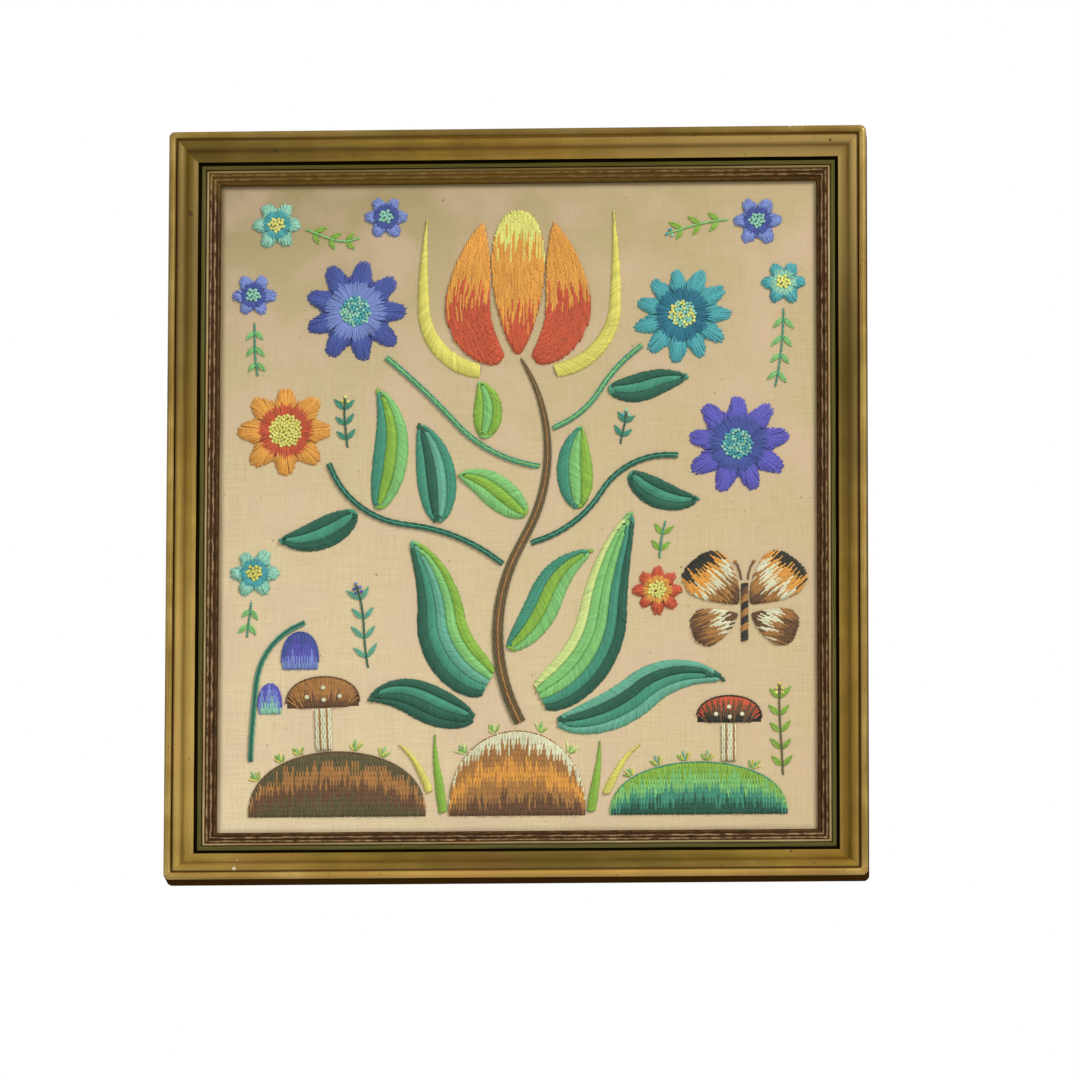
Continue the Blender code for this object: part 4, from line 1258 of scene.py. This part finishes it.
def addDome(name, x, z, lean, width, height, fullness, gather, stitchLength, words, edgeColour, rng):
    work = newWork()
    colours = words.split()
    tilt = np.array(((math.cos(math.radians(lean)), -math.sin(math.radians(lean))),
                     (math.sin(math.radians(lean)), math.cos(math.radians(lean)))))
    base = np.array((x, z), float)

    def place(flat):
        return base + np.asarray(flat) @ tilt.T

    def topAt(u):
        return height * (1 - np.minimum(1.0, np.abs(u)) ** 2) ** (fullness / 2)

    angles = np.pi * np.arange(25) / 24
    rim = np.column_stack((width / 2 * np.cos(angles), height * np.sin(angles) ** fullness))
    core = np.array((0.0, height * 0.42))
    rings = []
    for share, up in ((0.97, -0.3), (0.94, 0.3), (0.7, 1.1), (0.1, 1.3)):
        rings.append(np.column_stack((place(core + (rim - core) * share), np.full(len(rim), up))))
    layUnderlay(work, rings, colours[0], True)

    starts, ends, crowns, lows, chosen = [], [], [], [], []
    columns = int(width / wool["pitch"])
    for i in range(columns):
        u = 2 * (i + 0.5) / columns - 1
        top = float(topAt(u))
        head = np.array((u * width / 2, top))
        foot = np.array((u * width / 2 * gather, 0.0))
        length = np.linalg.norm(head - foot)
        offset = -0.5 * (i % 2) * stitchLength
        while offset < length - 1.0:
            low = max(offset + rng.uniform(-0.8, 0.8), 0.0) / length
            high = min(offset + stitchLength * 1.12 + rng.uniform(-0.5, 0.5), length) / length
            offset += stitchLength
            if (high - low) * length < 1.2:
                continue
            middle = (low + high) / 2
            starts.append(foot + (head - foot) * low)
            ends.append(foot + (head - foot) * high)
            near = min(length * (1 - middle), length * middle + 1.5, (1 - abs(u)) * width / 2 + 1.0)
            crowns.append(0.75 + 1.05 * min(1.0, near / 7.0))
            under = crowns[-1] - 0.45
            lows.append((tuck if low == 0 else under, tuck if high > 0.995 else under))
            band = middle * len(colours) + rng.uniform(-0.4, 0.4)
            chosen.append(colours[int(min(max(band, 0), len(colours) - 1))])
    count = len(starts)
    tones = tonesOf(count, rng)
    crowns = np.array(crowns) + rng.normal(0, 0.06, count)
    layStitches(work, place(starts), place(ends), np.array(lows), crowns, chosen, tones)

    # a rope of stem stitch round the curved edge
    fine = np.linspace(0.02, 0.98, 200) * np.pi
    path = place(np.column_stack((width / 2 * np.cos(fine), height * np.sin(fine) ** fullness)) * 0.985)
    run = np.concatenate(([0.0], np.cumsum(np.linalg.norm(np.diff(path, axis=0), axis=1))))
    ticks = np.arange(0, run[-1] - 5.0, 3.6)
    starts = np.column_stack([np.interp(ticks, run, path[:, k]) for k in range(2)])
    ends = np.column_stack([np.interp(ticks + 5.4, run, path[:, k]) for k in range(2)])
    outward = starts - place([core])[0]
    outward /= np.linalg.norm(outward, axis=1)[:, None]
    count = len(starts)
    layStitches(work, starts - outward * 0.3, ends + outward * 0.1, np.tile((0.5, 0.75), (count, 1)),
                np.full(count, 1.0), [edgeColour] * count, tonesOf(count, rng, "edgeTone"))
    triangles[name] = finishWork(work, name + "_stitches", [name])


for number, row in enumerate(domes):
    addDome(*row, np.random.default_rng(500 + number))


# Sprigs, feelers and spots
print("sprigs")
sprigShape = {
    "stitchLength": 4.2, "overlap": 1.3, "leafAngle": 42, "knotGap": 3.2,
    # a leaf's four stitches: start and end along it, bow, the tip's height, how far past its end
    "chain": ((0, 1, 1.25, 0.3, 0), (0, 1, -1.25, 0.3, 0),
              (0.25, 0.8, 0, tuck, 0), (0.9, 1.0, 0, tuck, 1.2)),
    "spotHeight": 2.0, "spotWidth": 3.0,
}
sprigs = (
    # start, heading, length, bendIn, bendOut, pairs of leaves, leaf length, stem, leaves, knots from the tip
    ((-148, 197), -24, 40, 4, 46, 3, 7.5, "leafGreen", "lime", ""),
    ((-183, 131), 270, 38, 2, 8, 3, 7.5, "tealGreen", "leafGreen", ""),
    ((146, 201), 184, 44, 10, 6, 3, 8, "leafGreen", "lime", "turquoise mint turquoise"),
    ((184, 138), 270, 56, -6, -6, 4, 8.5, "tealGreen", "leafGreen", ""),
    ((-184, -66), 264, 25, -2, 4, 2, 7, "tealGreen", "leafGreen", ""),
    ((-103, -113), 100, 60, -8, 18, 4, 10, "darkGreen", "seaGreen", "periwinkle blue periwinkle blue violet"),
    ((98, -38), 86, 27, -4, -10, 2, 8, "tealGreen", "lime", ""),
    ((183, -190), 92, 64, 2, -6, 5, 9, "olive", "lime", "yellow sunYellow yellow sunYellow yellow"),
    ((-118, 42), 96, 36, 0, -14, 3, 8, "darkGreen", "tealGreen", "sunYellow yellow sunYellow"),
    ((71, 43), 80, 24, -4, 12, 2, 7.5, "darkGreen", "tealGreen", "mint turquoise mint"),
    ((158.9, -53.5), 84, 14, -6, -30, 0, 0, "brown", "brown", "tan"),  # the moth's feelers
    ((154.5, -53.5), 96, 14, 6, 30, 0, 0, "brown", "brown", "tan"),
)
spots = (  # on the mushroom caps: x, z
    (137, -147.5), (146, -142.5), (155, -147.5), (146.5, -149.5),
    (-145, -133.5), (-134, -127), (-122.5, -133), (-133.5, -135.5),
)


def addSprig(work, start, heading, length, bendIn, bendOut, pairs, leafLength, stem, leaf, words, rng):
    # one row of stem stitch, with leaves of chain stitch
    knots = words.split()
    line = middleLine(start, heading, length, bendIn, bendOut)
    count = round(length / sprigShape["stitchLength"])
    alongs = np.arange(count) / count
    starts, startSides = curvePlace(line, alongs)
    ends, endSides = curvePlace(line, alongs + sprigShape["overlap"] / count)
    layStitches(work, starts - startSides * 0.25, ends + endSides * 0.25, np.tile((0.1, 0.45), (count, 1)),
                np.full(count, 0.7), [stem] * count, tonesOf(count, rng))
    if pairs:
        leaves = 2 * pairs
        places, sides = curvePlace(line, np.repeat((np.arange(pairs) + 0.5) / (pairs + 0.4), 2))
        hands = np.tile((1.0, -1.0), pairs)
        forward = np.column_stack((sides[:, 1], -sides[:, 0]))
        angle = math.radians(sprigShape["leafAngle"])
        way = forward * math.cos(angle) + sides * (hands * math.sin(angle))[:, None]
        size = (leafLength * rng.uniform(0.85, 1.1, leaves))[:, None]
        roots = places + way * 0.9
        flat = np.full(leaves, 0.55)
        for low, high, bow, tip, past in sprigShape["chain"]:
            near = roots + way * size * low
            far = roots + way * (size * high + past)
            crowns = flat + 0.1 * (past > 0)
            tones = tonesOf(leaves, rng)
            lows = np.tile((0.0, tip), (leaves, 1))
            layStitches(work, near, far, lows, crowns, [leaf] * leaves, tones, bows=np.full(leaves, bow))
    if knots:
        index = np.arange(len(knots))
        back = 1 - np.ceil(index / 2) * sprigShape["knotGap"] / length
        places, sides = curvePlace(line, back)
        hand = np.where(index == 0, 0.0, np.where(index % 2, 1.0, -1.0))[:, None]
        layKnots(work, places + sides * hand * 2.1, np.full(len(knots), 0.25), knots,
                 tonesOf(len(knots), rng, "knotTone"), wool["knotWidth"])


tufts = (
    # mound, places along its top from -1 to 1, colours
    ("mound_left", (-0.88, -0.62, -0.42, 0.2, 0.5), "lime yellow leafGreen"),
    ("mound_middle", (-0.75, -0.33, 0.33, 0.75), "lime paleLime leafGreen"),
    ("mound_right", (-0.75, -0.45, -0.15, 0.1, 0.6), "yellow lime seaGreen"),
)


def addTufts(work, mound, places, words, rng):
    # straight stitches of grass, fanned from the mound's edge
    colours = words.split()
    x, z, _, width, height, fullness = next(row[1:7] for row in domes if row[0] == mound)
    for u in places:
        root = np.array((x + u * width / 2, z + height * (1 - u**2) ** (fullness / 2)))
        fan = np.radians(90 - 45 * u + np.array((-38, -18, 3, 20, 40)) + rng.uniform(-5, 5, 5))
        way = np.column_stack((np.cos(fan), np.sin(fan)))
        size = rng.uniform(4.5, 8.0, 5)[:, None]
        tones = tonesOf(5, rng)
        layStitches(work, root + way * 1.1, root + way * (1.1 + size), np.tile((0.0, tuck), (5, 1)),
                    np.full(5, 0.6), [colours[i % len(colours)] for i in range(5)], tones,
                    bows=rng.normal(0, 0.35, 5))


sprigWork = newWork()
rng = np.random.default_rng(700)
for row in sprigs:
    addSprig(sprigWork, *row, rng)
for row in tufts:
    addTufts(sprigWork, *row, rng)
layKnots(sprigWork, np.array(spots), np.full(len(spots), sprigShape["spotHeight"]), ["cream"] * len(spots),
         np.full(len(spots), wool["knotTone"]), sprigShape["spotWidth"])
triangles["sprigs"] = finishWork(sprigWork, "sprig_stitches", [])

print("stitch triangles", sum(triangles.values()), "in all, most in a piece", max(triangles.values()))

print("done")
